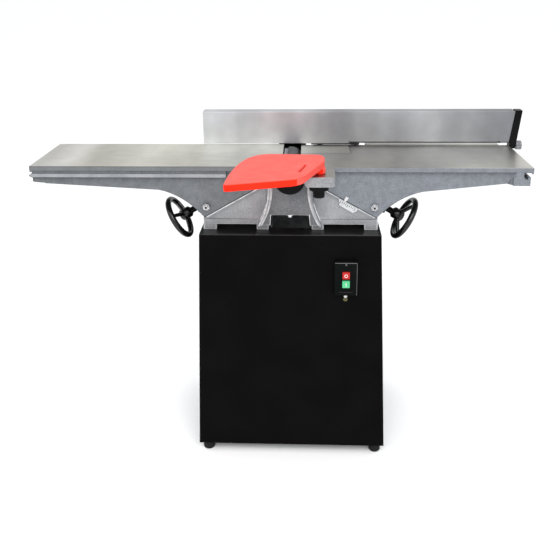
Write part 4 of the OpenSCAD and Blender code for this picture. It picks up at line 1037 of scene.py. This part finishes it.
stop_middle = (stop_low + stop_high) / 2
ring = started(bpy.ops.mesh.primitive_circle_add, vertices=40, radius=RING_R, fill_type="NGON",
               rotation=(math.pi / 2, 0, 0),
               location=(stop_middle.x, stop_low.y - MARK_OFFSET, stop_middle.z))
bpy.ops.object.mode_set(mode="EDIT")
bpy.ops.mesh.select_all(action="SELECT")
bpy.ops.mesh.inset(thickness=RING_W)
bpy.ops.mesh.delete(type="FACE")
bpy.ops.mesh.select_all(action="SELECT")
bpy.ops.mesh.extrude_region_move(TRANSFORM_OT_translate={"value": (0, MARK_T, 0)})
tidy(ring)
ring.name = "stop_ring"
keep(ring, "stop_button", "mark_white")

start_middle = (start_low + start_high) / 2
bar = started(bpy.ops.mesh.primitive_cube_add, size=1, scale=(BAR_W, MARK_T, BAR_H),
              location=(start_middle.x, start_low.y + MARK_OFFSET, start_middle.z))
bevelled(bar, width=0.00018)
bar.name = "start_bar"
keep(bar, "start_button", "mark_white")
print("button marks:", ring.name, bar.name)

# %% [markdown]
# ## Line and screw on the switch plate
# The plate has a raised line below the buttons and a small screw at its top. The screw's head is a short
# cylinder that faces the front: its face is inset and raised, then inset again and sunk into a socket.
# One helper makes such heads, because the fence has another.


# %% Plate line and screw
def socket_head(name, radius, length, place, rim, rise, wall, sink):
    head = started(bpy.ops.mesh.primitive_cylinder_add, vertices=24, radius=radius, depth=length,
                   rotation=(math.pi / 2, 0, 0), location=place)
    pick_faces(head, lambda at, normal: normal.y < -0.9)
    stepped(rim, (0, -rise, 0))
    sunk(wall, (0, sink, 0))
    tidy(head)
    head.name = name
    return head


LINE_SIZE, LINE_Z, LINE_PROUD = (0.033, 0.0012, 0.0016), 0.4822, 0.0002
SCREW_BELOW_TOP, SCREW_PROUD = 0.0042, 0.0004
plate_x = (plate_low.x + plate_high.x) / 2
line = started(bpy.ops.mesh.primitive_cube_add, size=1, scale=LINE_SIZE,
               location=(plate_x, plate_low.y - LINE_PROUD, LINE_Z))
bevelled(line, width=0.0003)
line.name = "plate_line"
keep(line, "switch_plate", "plate_line")

screw_at = (plate_x, plate_low.y - SCREW_PROUD, plate_high.z - SCREW_BELOW_TOP)
plate_screw = socket_head("plate_screw", radius=0.0021, length=0.0016, place=screw_at,
                          rim=0.0005, rise=0.0004, wall=0.0006, sink=0.0008)
keep(plate_screw, "switch_plate", "switch_edge")
print("plate details:", line.name, plate_screw.name)

# %% [markdown]
# ## Earth terminal
# Below the switch a slotted screw holds the earth wire, above a small round label. The screw head is a
# cylinder with a domed face. Its slot is the middle strip of that face, cut by two bisects and pushed in.

# %% Earth screw and label
LABEL_TOP_Z, EARTH_Z = 0.4614, 0.4662
EARTH_R, EARTH_L, EARTH_PROUD = 0.0037, 0.0022, 0.0010
EARTH_RIM, EARTH_DOME = 0.0009, 0.0006
SLOT_HALF, SLOT_DEPTH = 0.0005, 0.0014
earth = softened("earth_terminal", 0.0004)
repaint(earth, "label_olive", lambda at, normal: at.z < LABEL_TOP_Z)
earth_low, earth_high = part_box("earth_terminal")
earth_x = (earth_low.x + earth_high.x) / 2
earth_screw = started(bpy.ops.mesh.primitive_cylinder_add, vertices=32, radius=EARTH_R, depth=EARTH_L,
                      rotation=(math.pi / 2, 0, 0), location=(earth_x, earth_low.y - EARTH_PROUD, EARTH_Z))
pick_faces(earth_screw, lambda at, normal: normal.y < -0.9)
stepped(EARTH_RIM, (0, -EARTH_DOME, 0))
for up in (1, -1):
    pick_faces(earth_screw, lambda at, normal: normal.y < -0.9)
    bpy.ops.mesh.bisect(plane_co=(earth_x, 0, EARTH_Z + up * SLOT_HALF), plane_no=(0, 0, up))
pick_faces(earth_screw, lambda at, normal: normal.y < -0.9 and near(at.z, EARTH_Z))
bpy.ops.mesh.extrude_region_move(TRANSFORM_OT_translate={"value": (0, SLOT_DEPTH, 0)})
tidy(earth_screw)
earth_screw.name = "earth_screw"
keep(earth_screw, "earth_terminal", "bright_steel")
print("earth screw faces:", len(earth_screw.data.polygons))

# %% [markdown]
# ## Depth scale
# The scale is a small plate with a row of fine strokes along the way, every fourth one longer. One stroke
# is modelled and copied along the slope of the way, which is read from the lift joint. The copies are
# joined, so the marks are one piece.

# %% Strokes on the scale
STROKES, LONG_EVERY, LONG_BY = 9, 4, 1.45
FIRST_AT, STROKE_STEP = 0.0085, 0.0050
SHORT_DROP, LONG_DROP = 0.0058, 0.0070
STROKE_SIZE = (0.0013, 0.0006, 0.0056)
softened("depth_scale", 0.0008, 1, "plate_rim")
scale_low, scale_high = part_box("depth_scale")
slide = Vector(joint["infeed_lift"]["axis"]).normalized()
slide = slide if slide.x > 0 else -slide
up_way = Vector((-slide.z, 0, slide.x))
top_left = Vector((scale_low.x, scale_low.y, scale_high.z))
tilt = Matrix.Rotation(math.atan2(-slide.z, slide.x), 4, "Y")

stroke = started(bpy.ops.mesh.primitive_cube_add, size=1, scale=STROKE_SIZE)
bevelled(stroke, width=0.00012, segments=1)
strokes = []
for i in range(STROKES):
    is_short = i % LONG_EVERY > 0
    drop = SHORT_DROP if is_short else LONG_DROP
    place = top_left + slide * (FIRST_AT + STROKE_STEP * i) - up_way * drop
    length = Matrix.Diagonal((1, 1, 1.0 if is_short else LONG_BY, 1))
    strokes.append(settle(copied(stroke, f"stroke_{i}"), Matrix.Translation(place) @ tilt @ length))
bpy.data.objects.remove(stroke)
scale_marks = joined(strokes, "scale_strokes")
keep(scale_marks, "depth_scale", "mark_black")
print("strokes:", STROKES, "along", [round(v, 2) for v in slide])

# %% [markdown]
# ## Fence set screw
# A black set screw near the fence's far end trims its height. It is another socket head, sunk into the
# fence's face near its lower edge.

# %% Fence set screw
TRIM_X, TRIM_UP, TRIM_IN = 0.5591, 0.0042, 0.0008
fence_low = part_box("fence")[0]
trim_at = (TRIM_X, fence_low.y + TRIM_IN, fence_low.z + TRIM_UP)
trim = socket_head("fence_trim_screw", radius=0.0032, length=0.0024, place=trim_at,
                   rim=0.0007, rise=0.0003, wall=0.0008, sink=0.0014)
keep(trim, "fence", "mark_black")
print("set screw at", [round(v, 3) for v in trim_at])
